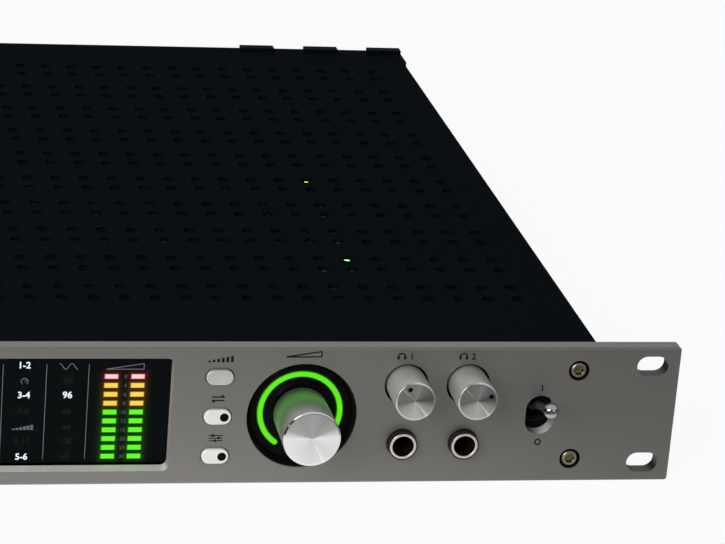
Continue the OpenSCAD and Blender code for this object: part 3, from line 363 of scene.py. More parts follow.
def add(tree, kind, inputs=None, **options):
    """Adds a shader node, sets its options and fills its inputs."""
    node = tree.nodes.new(kind)
    for key, value in options.items():
        setattr(node, key, value)
    fill(node, inputs or {})
    return node


class Level:
    """A shader value with plain arithmetic: each step adds one Math node to its own tree.
    Comparisons give 1 or 0, & gives the lower and | the higher of two levels."""

    def __init__(self, socket):
        self.socket = socket
        self.tree = socket.id_data

    def math(self, operation, other=0.0):
        inputs = {0: self, 1: other}
        return Level(add(self.tree, "ShaderNodeMath", inputs, operation=operation).outputs[0])

    def __rsub__(self, other):
        inputs = {0: other, 1: self}
        return Level(add(self.tree, "ShaderNodeMath", inputs, operation="SUBTRACT").outputs[0])

    __add__ = partialmethod(math, "ADD")
    __sub__ = partialmethod(math, "SUBTRACT")
    __mul__ = partialmethod(math, "MULTIPLY")
    __truediv__ = partialmethod(math, "DIVIDE")
    __gt__ = partialmethod(math, "GREATER_THAN")
    __lt__ = partialmethod(math, "LESS_THAN")
    __and__ = partialmethod(math, "MINIMUM")
    __or__ = partialmethod(math, "MAXIMUM")
    __abs__ = partialmethod(math, "ABSOLUTE")


def ranged(level, low, high, to_low, to_high):
    """A level carried from one range to another and held at its ends."""
    return Level(add(level.tree, "ShaderNodeMapRange", {
        "Value": level, "From Min": low, "From Max": high,
        "To Min": to_low, "To Max": to_high}).outputs[0])


def chosen(share, off, on):
    """One value where a share is 0 and another where it is 1."""
    return ranged(share, 0.0, 1.0, off, on)


def scaled(colour, level):
    """A colour times a level."""
    inputs = {0: colour, "Scale": level}
    return add(level.tree, "ShaderNodeVectorMath", inputs, operation="SCALE").outputs[0]


def blend(share, first, second):
    """Two colours mixed by a share."""
    inputs = {0: share, 6: first, 7: second}
    return add(share.tree, "ShaderNodeMix", inputs, data_type="RGBA").outputs[2]


def opaque(shade):
    """A colour with full opacity."""
    return (*shade, 1.0)


def where(tree):
    """The object's own coordinates."""
    return add(tree, "ShaderNodeTexCoord").outputs["Object"]


def axes(vector):
    """X, Y and Z of a vector socket, as levels."""
    parts = add(vector.id_data, "ShaderNodeSeparateXYZ", {0: vector}).outputs
    return [Level(part) for part in parts]


def noise(vector, scale, detail, roughness=0.5):
    """Noise on a vector socket, as a level."""
    return Level(add(vector.id_data, "ShaderNodeTexNoise", {
        "Vector": vector, "Scale": scale, "Detail": detail, "Roughness": roughness}).outputs[0])


def within(x, node):
    """1 where a place along X lies inside a construction node's box."""
    low, high = extent(node)
    return abs(x - (low[0] + high[0]) / 2 * MM) < (high[0] - low[0]) / 2 * MM


def new_group(name, inputs, outputs):
    """An empty shader group: inputs have defaults and outputs a count of numbers, which set
    the kinds of their sockets."""
    kinds = {1: "NodeSocketFloat", 3: "NodeSocketVector", 4: "NodeSocketColor"}
    tree = bpy.data.node_groups.new(name, "ShaderNodeTree")
    for label, default in inputs.items():
        tree.interface.new_socket(
            label, in_out="INPUT", socket_type=kinds[np.size(default)]).default_value = default
    for label, count in outputs.items():
        tree.interface.new_socket(label, in_out="OUTPUT", socket_type=kinds[count])
    return tree, tree.nodes.new("NodeGroupInput").outputs, tree.nodes.new("NodeGroupOutput")


def grain_group():
    """Surface grain: fine noise for height and tone, broad noise for blotches and gloss."""
    found = bpy.data.node_groups.get("surface_grain")
    if found:
        return found
    tree, given, out = new_group("surface_grain", {
        "Colour": (0.5, 0.5, 0.5, 1.0), "Grain Scale": 4000.0, "Tone": 0.05,
        "Blotch Scale": 25.0, "Blotch": 0.05, "Roughness": 0.4, "Spread": 0.1,
    }, {"Colour": 4, "Roughness": 1, "Height": 1})
    place = where(tree)
    fine = noise(place, given["Grain Scale"], 3.0, 0.6)
    broad = noise(place, given["Blotch Scale"], 4.0, 0.55) - 0.5
    tone = (fine - 0.5) * given["Tone"] + broad * given["Blotch"] + 0.5
    fill(out, {"Colour": scaled(given["Colour"], tone * 2.0), "Height": fine,
               "Roughness": broad * given["Spread"] + given["Roughness"]})
    return tree


def rings_group():
    """Turned work about an axis along Y: the angle from the top, the distance from the axis,
    and its grooves."""
    found = bpy.data.node_groups.get("turned_rings")
    if found:
        return found
    tree, given, out = new_group("turned_rings", {"Centre": (0.0, 0.0, 0.0), "Pitch": 0.0002},
                                 {"Height": 1, "Angle": 1, "Radius": 1})
    inputs = {0: where(tree), 1: given["Centre"]}
    local = add(tree, "ShaderNodeVectorMath", inputs, operation="SUBTRACT").outputs[0]
    x, _, z = axes(local)
    radius = (x * x + z * z).math("SQRT")
    turns = radius / given["Pitch"]
    scatter = add(tree, "ShaderNodeTexNoise", {"W": turns, "Scale": 0.7, "Detail": 2.0},
                  noise_dimensions="1D").outputs[0]
    fill(out, {"Height": (turns * (2 * math.pi)).math("SINE") * 0.35 + scatter,
               "Angle": x.math("ARCTAN2", z), "Radius": radius})
    return tree


def grain(tree, inputs):
    """The outputs of a grain group, with the named inputs filled."""
    return add(tree, "ShaderNodeGroup", inputs, node_tree=grain_group()).outputs


def rings(tree, centre, pitch):
    """The outputs of a rings group: lengths are in millimetres."""
    inputs = {"Centre": [value * MM for value in centre], "Pitch": pitch * MM}
    return add(tree, "ShaderNodeGroup", inputs, node_tree=rings_group()).outputs


def emptied(owner):
    """The cleared node tree of a material or a world."""
    owner.use_nodes = True
    owner.node_tree.nodes.clear()
    return owner.node_tree


def blank(name):
    """A material with a Principled shader and nothing else."""
    material = bpy.data.materials.new(name)
    tree = emptied(material)
    shader = tree.nodes.new("ShaderNodeBsdfPrincipled")
    add(tree, "ShaderNodeOutputMaterial", {"Surface": shader.outputs[0]})
    return material, tree, shader


def opened(material):
    """The tree of a grained material, its shader and the colour of its grain."""
    nodes = {node.type: node for node in material.node_tree.nodes}
    return material.node_tree, nodes["BSDF_PRINCIPLED"], nodes["GROUP"].outputs["Colour"]


def coat(shader, colour, roughness, height, strength, depth, metallic, specular=0.5):
    """Gives a shader its colour, gloss and bumps: the depth is in millimetres."""
    bump = add(shader.id_data, "ShaderNodeBump", {
        "Strength": strength, "Distance": depth * MM, "Height": height})
    fill(shader, {"Base Color": colour, "Roughness": roughness, "Normal": bump.outputs[0],
                  "Metallic": metallic, "Specular IOR Level": specular})


def grained(name, shade, roughness, metallic=0.0, fine=0.25, tone=0.06, blotch=0.06,
            blotch_size=40.0, spread=0.12, depth=0.004, specular=0.5):
    """A finish with grain and blotches, made once: lengths are in millimetres."""
    found = bpy.data.materials.get(name)
    if found:
        return found
    material, tree, shader = blank(name)
    surface = grain(tree, {
        "Colour": opaque(shade), "Grain Scale": 1 / (fine * MM), "Tone": tone, "Blotch": blotch,
        "Blotch Scale": 1 / (blotch_size * MM), "Roughness": roughness, "Spread": spread})
    coat(shader, surface["Colour"], surface["Roughness"], surface["Height"], 1.0, depth,
         metallic, specular)
    return material


def spun(name, shade, centre, pitch, fan, roughness):
    """Turned metal face: grooves round the axis, and light and dark fans (angle from the top,
    level) painted into its colour as painted reflections, which turn with the piece."""
    material, tree, shader = blank(name)
    work = rings(tree, centre, pitch)
    turn = ranged(Level(work["Angle"]), -math.pi, math.pi, 0.0, 1.0)
    # Painted reflection: the ramp gives light and dark sectors of the colour by angle round the
    # axis.
    ramp = add(tree, "ShaderNodeValToRGB", {0: turn})
    stops = ramp.color_ramp.elements
    while len(stops) < len(fan):
        stops.new(0.5)
    for stop, (degrees, level) in zip(stops, fan):
        stop.position = degrees / 360 + 0.5
        stop.color = opaque([level * value for value in shade])
    surface = grain(tree, {
        "Colour": ramp.outputs[0], "Grain Scale": 3000.0, "Tone": 0.02, "Blotch Scale": 150.0,
        "Blotch": 0.04, "Roughness": roughness, "Spread": 0.08})
    coat(shader, surface["Colour"], surface["Roughness"], work["Height"], 0.4, 0.001, 1.0)
    return material


def dress(material, *nodes):
    """Gives construction nodes one finish."""
    for node in nodes:
        slots = NODES[node].data.materials
        slots.clear()
        slots.append(material)


def darker(shade, share):
    """A share of a colour."""
    return [value * share for value in shade]


def black_plastic():
    return grained("black_plastic", shades().plastic, 0.40, tone=0.2, depth=0.006, specular=0.25)


def nickel():
    return grained("nickel", shades().nickel, 0.22, metallic=1.0, fine=0.5, blotch_size=6.0,
                   depth=0.001)


def plated_steel():
    return grained("plated_steel", (0.42, 0.42, 0.41), 0.34, metallic=1.0, fine=0.8, blotch=0.12,
                   depth=0.002)


def black_screw():
    return grained("black_screw", (0.03, 0.03, 0.032), 0.35, metallic=0.9, fine=0.3, depth=0.002)


def dot_black():
    return grained("dot_black", (0.003, 0.003, 0.003), 0.4, depth=0.001, specular=0.04)


def ink():
    return grained("panel_ink", shades().ink, 0.7, depth=0.001, specular=0.1)


# Marks

def arc(x, z, radius, start, stop, count=28):
    """Points along a circle, with angles in degrees clockwise from the top."""
    angle = np.radians(np.linspace(start, stop, count))
    return np.column_stack([x + radius * np.sin(angle), z + radius * np.cos(angle)])


def sign(kind, stroke):
    """Strokes (path, width, closed) of one plain pictogram, about its own middle."""
    steps = zip(np.linspace(-3.4, 3.4, 6), np.linspace(0.5, 2.0, 6))
    knobs = ((-0.9, 0.85), (0.9, 0.0), (-0.2, -0.85))
    wave_x = np.linspace(-2.7, 2.7, 48)
    even = {
        "swap": [[(-1.9, 0.55), (1.9, 0.55)], [(1.0, 1.1), (1.9, 0.55)],
                 [(-1.9, -0.55), (1.9, -0.55)], [(-1.0, -1.1), (-1.9, -0.55)]],
        "wedge": [[(-5.6, -0.9), (5.6, -0.9)], [(-5.6, -0.9), (5.6, 0.9)],
                  [(5.6, 0.9), (5.6, -0.9)]],
        "phones": [arc(0, -0.15, 1.05, -90, 90)],
        "slope": [[(-2.0, -1.0), (-0.6, 0.7), (2.0, 0.7)]],
        "plus": [[(-1.0, 0.0), (1.0, 0.0)], [(0.0, -1.0), (0.0, 1.0)]],
        "minus": [[(-1.1, 0.0), (1.1, 0.0)]],
        "crossed": [[(-1.0, -1.0), (1.0, 1.0)]],
        "enter": [[(-2.0, 0.0), (0.8, 0.0)], [(0.0, 0.7), (0.8, 0.0), (0.0, -0.7)],
                  [(1.7, -1.0), (1.7, 1.0)]],
        "wave": [np.column_stack([wave_x, 0.9 * np.sin(wave_x * 1.75)])],
        "dial": [arc(0, 0, 1.0, -140, 140, 40), [(0.0, 0.0), (0.55, 0.55)]],
    }
    own_width = {
        "bars": [([(x, -1.0), (x, tall - 1.0)], 0.8) for x, tall in steps],
        "sliders": [([(-2.1, z), (2.1, z)], stroke * 0.7) for _, z in knobs]
        + [([(x - 0.35, z), (x + 0.35, z)], 0.75) for x, z in knobs],
        "phones": [([(x, 0.0), (x, -1.0)], 0.7) for x in (-1.0, 1.0)],
        "stroke": [([(0.0, -1.0), (0.0, 1.0)], 0.45)],
    }
    loops = {
        "ring": [(0.0, 0.85, 0.45)],
        "crossed": [(0.0, 0.75, stroke)],
        "links": [(-0.6, 0.8, stroke), (0.6, 0.8, stroke)],
    }
    return ([(arc(x, 0.0, radius, 0, 350, 36), width, True)
             for x, radius, width in loops.get(kind, ())]
            + [(path, stroke, False) for path in even.get(kind, ())]
            + [(path, width, False) for path, width in own_width.get(kind, ())])


def mark(kind, place, face, stroke, depth, scale=1.0):
    """A pictogram as flat strokes in front of the plane y = face."""
    return [stroke_along(np.asarray(path, float) * scale + place, width, face, depth, closed)
            for path, width, closed in sign(kind, stroke)]


# Pieces and their operators

def studio_floor(scene):
    """A flat grid just under the case."""
    half, count, drop = 9.0, 7, 0.0002
    reach = np.linspace(-half, half, count)
    x, y = np.meshgrid(reach, reach, indexing="ij")
    points = np.stack([x, y, np.full_like(x, CAD_BOX[0][2] - drop)], axis=-1)
    mesh = bpy.data.meshes.new("studio_floor")
    mesh.from_pydata(points.reshape(-1, 3), [], cells(count, count, wrap_columns=False))
    mesh.flip_normals()
    floor = bpy.data.objects.new("studio_floor", mesh)
    scene.collection.objects.link(floor)
    mesh.materials.append(floor_paper())


def ray_kinds(tree):
    """Two levels: 1 for rays from the camera, a mirror or a lens, and 0 for the rays that
    light the object; then 1 for rays from a mirror."""
    path = add(tree, "ShaderNodeLightPath").outputs
    mirror = Level(path["Is Glossy Ray"])
    return mirror | path["Is Camera Ray"] | path["Is Transmission Ray"], mirror


def floor_paper():
    """Pale paper that looks white and keeps the object's shadow. Mirrors see it fade to the
    right and forward."""
    material = bpy.data.materials.new("pale_floor")
    tree = emptied(material)
    seen, mirror = ray_kinds(tree)
    x, y, _ = axes(where(tree))
    fade = ranged(x, 0.09, 0.24, 1.12, 0.50) * ranged(y, -0.13, 0.0, 0.48, 1.38)
    matt = add(tree, "ShaderNodeBsdfDiffuse", {"Color": (0.86, 0.86, 0.86, 1.0)})
    white = add(tree, "ShaderNodeEmission", {
        "Color": WHITE, "Strength": mirror * (fade - 1.0) + 1.0})
    mix = add(tree, "ShaderNodeMixShader", {
        0: seen * 0.94, 1: matt.outputs[0], 2: white.outputs[0]})
    add(tree, "ShaderNodeOutputMaterial", {"Surface": mix.outputs[0]})
    return material


def studio_world(scene):
    """White where it is seen, dimmer in mirrors, and a soft fill elsewhere."""
    scene.world = bpy.data.worlds.new("studio")
    tree = emptied(scene.world)
    seen, mirror = ray_kinds(tree)
    background = add(tree, "ShaderNodeBackground", {
        "Color": WHITE, "Strength": chosen(seen, 0.3, 1.0) * chosen(mirror, 1.0, 0.6)})
    add(tree, "ShaderNodeOutputWorld", {"Surface": background.outputs[0]})


def soft_light(scene, name, place, side, power):
    """A square soft light that faces the object."""
    data = bpy.data.lights.new(name, "AREA")
    data.shape, data.size, data.energy = "SQUARE", side, power
    light = bpy.data.objects.new(name, data)
    light.location = place
    light.rotation_euler = (-Vector(place)).to_track_quat("-Z", "Y").to_euler()
    scene.collection.objects.link(light)


def photo_camera(scene):
    """The photograph's view: a long lens, above and left of the right half of the front."""
    pitch, yaw, roll = 0.35356, 0.22291, 0.08379
    place = (-0.055775, -0.868449, 0.372870)
    data = bpy.data.cameras.new("photo_camera")
    data.lens, data.sensor_width, data.sensor_fit = 159.23, 36.0, "HORIZONTAL"
    data.clip_start, data.clip_end = 0.02, 60.0
    camera = bpy.data.objects.new("photo_camera", data)
    view = Matrix.Translation(place)
    for angle, axis in ((-yaw, "Z"), (math.pi / 2 - pitch, "X"), (roll, "Z")):
        view = view @ Matrix.Rotation(angle, 4, axis)
    camera.matrix_world = view
    scene.collection.objects.link(camera)
    scene.camera = camera


class InterfaceStage(bpy.types.Operator):
    """Pale floor, soft studio light and the camera."""

    bl_idname = "interface.stage"
    bl_label = "Stage"

    def execute(self, context):
        scene = context.scene
        scene.view_settings.view_transform = "Standard"
        studio_floor(scene)
        studio_world(scene)
        for name, place, side, power in (
                ("key_light", (-0.38, -0.60, 0.40), 0.5, 4.7),
                ("left_light", (-1.7, -0.75, 0.45), 0.9, 6.0),
                ("right_light", (1.9, -0.45, 0.55), 0.7, 1.0),
                ("rear_light", (0.4, 2.3, 0.5), 1.2, 4.0)):
            soft_light(scene, name, place, side, power)
        photo_camera(scene)
        return DONE


def rear_paint():
    """Black paint, as dull on the hooks as on the cover."""
    material = grained("rear_paint", (0.013, 0.014, 0.015), 0.5, fine=0.3, tone=0.2,
                       blotch=0.1, blotch_size=50.0, depth=0.008, specular=0.003)
    tree, shader, colour = opened(material)
    hook = axes(where(tree))[2] > (extent("top_cover")[1][2] - 0.05) * MM
    fill(shader, {"Base Color": scaled(colour, chosen(hook, 1.0, 0.3))})
    return material


def anodised():
    """Satin anodised aluminium, with bare machined walls in the openings of the display and
    the lever, painted lighter where they face up and painted darker left of the lever, and
    painted shade darkening the walls of the holes at the ends and deep in the dial wells."""
    metal = 0.66
    material = grained("anodised_panel", shades().panel, 0.46, metallic=metal, fine=0.2,
                       blotch_size=90.0, depth=0.006, specular=0.15)
    tree, shader, colour = opened(material)
    x, y, z = axes(where(tree))
    low, high = extent("front_panel")
    rim, skin, lip = 1.0, 0.08, 0.5
    inside = (abs(z) < (high[2] - rim) * MM) * (abs(x) < (high[0] - rim) * MM)
    wall = (y > (low[1] + skin) * MM) * inside
    bare = (within(x, "display_window") | within(x, "power_switch")) * wall
    # Painted light and shade on the bare walls: lighter the more they face up, darker left of the
    # lever's middle.
    normal = add(tree, "ShaderNodeNewGeometry").outputs["Normal"]
    sill_painted_light = ranged(axes(normal)[2], 0.3, 0.9, 0.45, 1.0)
    lever_x = middle_of("power_lever")[0]
    turn = ranged(x, (lever_x - 3.0) * MM, (lever_x + 2.0) * MM, 0.16, 1.0)
    sill_painted_light = sill_painted_light * (turn | (x < (lever_x - 10.0) * MM))
    # Painted shade: the walls of the holes beyond the screws and deep in the dial wells are
    # darkened.
    screw_x = max(box[0][0] for box in solids("panel_screws", ((0, 2.0),))) - 1.0
    well = within(x, "monitor_dial_plate") | within(x, "gain_dial_plate")
    well = well * (y > (low[1] + lip) * MM)
    dark = chosen(abs(x) > screw_x * MM, 1.0, 0.22) * chosen(well, 1.0, 0.06)
    colour = blend(wall, colour, scaled(colour, dark))
    colour = blend(bare, colour, scaled(tuple(shades().bare), sill_painted_light))
    fill(shader, {"Base Color": colour, "Metallic": chosen(bare, metal, 0.0)})
    return material


def vent_edges(paint):
    """A rounded edge in every vent: one small closed ring of four bands, repeated over the
    cover's double rows."""
    s = sizes()
    high = extent("top_cover")[1]
    sides, start, pitch, rows = 14, s["vent_start"], s["vent_pitch"], s["vent_rows"]
    lip = np.array(((0.22, 0.003), (0.09, 0.04), (-0.02, -0.02), (-0.04, -0.42)))
    lip += (s["vent_width"] / 2, high[2])
    columns = int((high[0] - s["vent_margin_x"]) / pitch)
    pairs = int((high[1] - s["vent_margin_y"] - start - pitch) / rows) + 1
    parts = [turned(lip, (column * pitch, start + pair * rows + second * pitch, 0.0), UP,
                    sides, True)
             for column in range(-columns, columns + 1)
             for pair in range(pairs) for second in (0, 1)]
    make_piece("vent_edges", parts, [paint], sharp=65.0)


class InterfaceCase(bpy.types.Operator):
    """Finish of the panel, the cover and the case, and the edges of the vents."""

    bl_idname = "interface.case"
    bl_label = "Case"

    def execute(self, context):
        cover = shades().cover
        dress(anodised(), "front_panel")
        paint = grained("black_paint", cover, 0.75, fine=0.35, tone=0.25, blotch=0.15,
                        blotch_size=60.0, depth=0.010, specular=0.002)
        dress(paint, "top_cover", "chassis_tray")
        dress(rear_paint(), "rear_panel")
        dress(plated_steel(), "cover_rails")
        # The vent edges are painted darker than the cover: painted shade round the vents.
        vent_edges(grained("vent_painted_shade", darker(cover, 0.35), 0.6, fine=0.35, tone=0.2,
                           blotch=0.6, blotch_size=45.0, specular=0.005))
        return DONE


def socket_screw(place, axis, length, head_r, head_h, shank_r, key, dome):
    """One screw, turned from its socket's floor over the head to the end of its shank."""
    depth, mouth, sides = head_h * 0.6, key * 1.18, 48
    socket = [(0.0, -depth, 1.0), (key * 0.5, -depth, 1.0), (key, -depth + 0.3, 1.0),
              (key, -0.16, 1.0), (mouth, 0.0, 0.0)]
    crown = soften([(mouth, 0.0), (head_r - dome, 0.0), (head_r, -dome), (head_r, -head_h),
                    (shank_r, -head_h)], (dome * 0.7, dome * 0.5, 0.08))
    shank = [(shank_r, 0.4 - length), (shank_r - 0.4, -length), (0.0, -length)]
    return [turned(socket, place, axis, sides) + (1,),
            turned(np.concatenate([crown, shank]), place, axis, sides) + (0,)]


class InterfaceScrews(bpy.types.Operator):
    """Socket screws of the panel, the case and the rear sockets."""

    bl_idname = "interface.screws"
    bl_label = "Screws"

    def execute(self, context):
        plating = [
            grained("screw_head", (0.22, 0.205, 0.16), 0.3, metallic=1.0, fine=0.5, blotch=0.25,
                    blotch_size=3.0, depth=0.003),
            grained("screw_socket", shades().screw, 0.25, metallic=1.0, fine=0.5, blotch=0.4,
                    blotch_size=2.0, depth=0.003)]
        black = [black_screw()] * 2
        key = sizes()["screw_key"] / 2
        # Head radius, head height, shank radius, socket radius and dome of each kind
        for node, gaps, facing, shape, finishes in (
                ("panel_screws", ((0, 2.0), (2, 2.0)), FRONT, (2.5, 3.0, 1.5, key, 0.45), plating),
                ("case_screws", ((0, 50.0), (1, 3.0)), None, (2.8, 1.5, 1.45, 1.0, 0.8), black),
                ("socket_screws", ((0, 2.0), (2, 2.0)), REAR, (2.35, 1.5, 1.3, 0.9, 0.8), black)):
            parts = []
            for low, high in solids(node, gaps):
                axis = facing or (math.copysign(1.0, low[0]), 0.0, 0.0)
                along = 1 if facing else 0
                head = high if axis[along] > 0 else low
                place = seated(low, high, along, head[along])
                parts += socket_screw(place, axis, high[along] - low[along], *shape)
            make_piece(f"{node}_turned", parts, finishes, stands_for=(node,))
        return DONE


def display_lens():
    """A plate with eased edges whose back stays clear of the light bars."""
    material, tree, shader = blank("smoked_lens")
    surface = grain(tree, {
        "Colour": (0.40, 0.43, 0.46, 1.0), "Grain Scale": 700.0, "Tone": 0.01,
        "Blotch Scale": 20.0, "Blotch": 0.03})
    fill(shader, {"Base Color": surface["Colour"], "Roughness": 0.0,
                  "Transmission Weight": 1.0, "IOR": 1.04})
    low, high = extent("display_window")
    size = high - low
    thick = size[1] - sizes()["lens_back"]
    place = seated(low, high, 1, low[1] + thick)
    outline = soften([(0.25, 0.0), (0.0, 0.0), (0.0, thick), (0.25, thick)], (0.15, 0.15))
    make_piece("display_lens", [stacked(outline, size[0], size[2], 0.5, place)], [material],
               stands_for=("display_window",))


def bar_light():
    """Light of the bars: the row sets the colour, and the distance from a bar's middle the
    fall-off. The two monitor columns are fully lit, and each channel column is lit up to a
    level of its own."""
    edges_x, edges_z = bands("meter_bars", 0), bands("meter_bars", 2)
    half_w, half_h = np.diff(edges_x[0])[0] / 2, np.diff(edges_z[0])[0] / 2
    columns, rows = edges_x.mean(axis=1).tolist(), edges_z.mean(axis=1).tolist()
    step, pitch = columns[1] - columns[0], rows[1] - rows[0]
    half_pair = (columns[-1] - columns[-2]) / 2
    first_amber, first_red = 5.5, 8.5

    def nearest(value, last):
        return (value.math("ROUND") | 0.0) & last

    def by_row(low, middle, high):
        return blend(row > first_red, blend(row > first_amber, low, middle), high)

    tree, _, out = new_group("bar_light", {}, {"Bar": 4, "Halo": 4})
    x, _, z = axes(where(tree))
    x, z = x * (1 / MM), z * (1 / MM)
    monitor = x > (columns[-2] + columns[-3]) / 2
    pair = abs(abs(x - (columns[-1] - half_pair)) - half_pair)
    turns = (x - columns[0]) / step
    column = nearest(turns, len(columns) - 3.0)
    across = pair * monitor + abs(turns - column) * step * (1.0 - monitor)
    rise = (z - rows[0]) / pitch
    row = nearest(rise, len(rows) - 1.0)
    upright = abs(rise - row) * pitch
    lit = monitor | (row < (column * 1.9 + 0.7).math("SINE") * 2.2 + 4.4)
    shade = shades()
    hue = by_row(opaque(shade.green), opaque(shade.amber), opaque(shade.red))
    hot = by_row((0.13, 1.0, 0.012, 1.0), (1.0, 0.62, 0.075, 1.0), (1.0, 0.62, 0.60, 1.0))
    edge = (across / half_w).math("POWER", 6.0) | (upright / half_h).math("POWER", 4.0)
    core = 1.0 - (edge & 1.0)
    level = (lit | 0.02) * ranged(core, 0.0, 0.6, 0.2, 1.0)
    # Painted light: a glow on the block round each lit bar stands in for their spilled light, over
    # a faint even glow.
    off_x, off_z = (across - half_w) | 0.0, (upright - half_h) | 0.0
    gap = (off_x * off_x + off_z * off_z).math("SQRT")
    fade = (gap * -1.6).math("EXPONENT") * 0.07
    halo = add(tree, "ShaderNodeVectorMath", {
        0: scaled(hue, fade * lit), 1: (0.0030, 0.0037, 0.0036)})
    fill(out, {"Bar": scaled(blend(core, hue, hot), level), "Halo": halo.outputs[0]})
    return columns, rows


def lit_finish(name, output, shade):
    """The block has a faint painted glow round each lit bar, and the bars themselves shine."""
    material = grained(name, shade, 0.6, specular=0.0)
    tree, shader, _ = opened(material)
    light = add(tree, "ShaderNodeGroup", node_tree=bpy.data.node_groups["bar_light"])
    fill(shader, {"Emission Color": light.outputs[output], "Emission Strength": 2.6})
    return material


def display_figures(columns, rows):
    """Dividers, lit figures and dim figures in the air gap behind the lens."""
    depth, line = 0.03, 0.24
    face = extent("display_window")[1][1] - depth
    source_x, rate_x, meter_x = 42.75, 55.6, (columns[-1] + columns[-2]) / 2

    def written(height, *places):
        return [figure(text, height, (x, z), face, depth) for text, x, z in places]

    def drawn(kind, x, z, scale=1.0):
        return mark(kind, (x, z), face, line, depth, scale)

    numbers = ("30", "24", "20", "16", "12", "10", "8", "6", "4", "0")
    lit = written(2.1, ("1-2", source_x, 13.7), ("3-4", source_x, 4.2),
                  ("5-6", source_x, -15.6)) + written(2.2, ("96", rate_x, 4.2))
    lines = [stroke_along([(x, -16.6), (x, 14.0)], 0.15, face, depth)
             for x in (36.3, 49.1, 61.6)]
    dim = (drawn("dial", source_x, 8.5) + drawn("bars", source_x, -6.2, 0.8)
           + drawn("wave", rate_x, 13.3) + drawn("wedge", meter_x, 13.3)
           + written(2.1, *((str(number + 1), x, 13.5)
                            for number, x in enumerate(columns[:-2]))))
    scale = written(1.25, *((text, meter_x + 0.3, z) for text, z in zip(numbers, rows)))
    faint = written(2.0, ("7-8", source_x, -1.0), ("9-10", source_x, -10.7),
                    ("88", rate_x, 8.9), ("64", rate_x, -1.0), ("44", rate_x, -6.1),
                    ("128", rate_x, -10.7), ("192", rate_x, -15.8))
    for name, parts, level in (("lit", lit, 2.4), ("dividing", lines, 0.5), ("dim", dim, 0.34),
                               ("scale", scale, 0.17), ("faint", faint, 0.03)):
        finish = grained(f"{name}_figures", (0.01, 0.01, 0.01), 0.6, depth=0.001, specular=0.0)
        tree, shader, _ = opened(finish)
        surface = grain(tree, {"Colour": opaque(shades().white)})
        fill(shader, {"Emission Color": surface["Colour"], "Emission Strength": level})
        make_piece(f"display_{name}_figures", parts, [finish])


class InterfaceDisplay(bpy.types.Operator):
    """Smoked lens, lit bars and the plain figures of the display."""

    bl_idname = "interface.display"
    bl_label = "Display"

    def execute(self, context):
        display_lens()
        columns, rows = bar_light()
        dress(lit_finish("display_block", "Halo", (0.004, 0.004, 0.004)), "display_housing")
        dress(lit_finish("light_bars", "Bar", (0.04, 0.04, 0.04)), "meter_bars")
        display_figures(columns, rows)
        return DONE


def low_dome(radius, root, shoulder, rise, ease):
    """Outline of a low dome with a root in the face that it stands on."""
    return soften([(0.0, -root), (radius, -root), (radius, shoulder),
                   (radius * 0.6, rise - 0.01), (0.0, rise)], (0.0, 0.1, ease))


def knob_parts(low, high, taper, s):
    """A turned knob as three bands that share their edges: side, rim and face."""
    length, front_r = high[1] - low[1], (high[0] - low[0]) / 2
    rim, bore_r, grip = s["rim_cut"], s["knob_bore"], s["knob_grip"]
    bore = [(0.0, grip), (bore_r, grip)]
    side = soften([(bore_r, 0.0), (front_r - taper, 0.0), (front_r, length - rim)], (0.25,))
    edge = soften([(front_r, length - rim), (front_r - rim * 0.12, length - rim * 0.25),
                   (front_r - rim, length)], (rim * 0.3,))
    radius = np.linspace(front_r - rim, 0.0, 24)
    hollow = length - s["knob_dish"] * (1 - radius / (front_r - rim))
    centre = seated(low, high, 1, high[1])
    outlines = (np.concatenate([bore, side]), edge, np.column_stack([radius, hollow]))
    return [turned(outline, centre, FRONT, 120) + (number,)
            for number, outline in enumerate(outlines)]


def knob_finishes(name, shade, centre, fans, groove, levels, metal):
    """Satin side, bright rim and spun face of a knob, with painted reflections on rim and face."""
    side, tree, shader = blank(f"{name}_side")
    stretched = add(tree, "ShaderNodeMapping", {
        "Vector": where(tree), "Scale": (260.0, 7000.0, 260.0)}).outputs[0]
    lines = noise(stretched, 1.0, 3.0)
    coat(shader, scaled(tuple(shade), ranged(lines, 0.3, 0.7, *levels)),
         chosen(lines, 0.32, 0.46), lines, 0.6, 0.002, metal, 0.2)
    rim = spun(f"{name}_rim", (0.92, 0.92, 0.91), centre, groove, fans[1], 0.15)
    return [side, rim, spun(f"{name}_face", shade, centre, groove, fans[0], 0.26)]


def ring_light(name, centre, lit_to):
    """Green light from the lower left round to an angle, brighter along its middle, and a
    dark lens beyond."""
    material = grained(f"{name}_ring_light", (0.01, 0.03, 0.01), 0.3, fine=0.5, depth=0.0005,
                       specular=0.02)
    tree, shader, _ = opened(material)
    work = rings(tree, centre, 0.2)
    past = ranged(Level(work["Angle"]), math.radians(lit_to - 2), math.radians(lit_to + 2),
                  1.0, 0.03)
    low, high = extent(f"{name}_light_ring")
    track_r = (high[0] - low[0]) / 2 - 0.95
    off = abs(Level(work["Radius"]) - track_r * MM)
    level = past * ranged(off, 0.6 * MM, 0.92 * MM, 1.0, 0.12)
    fill(shader, {"Emission Color": scaled(tuple(shades().green), level),
                  "Emission Strength": 0.97})
    return material


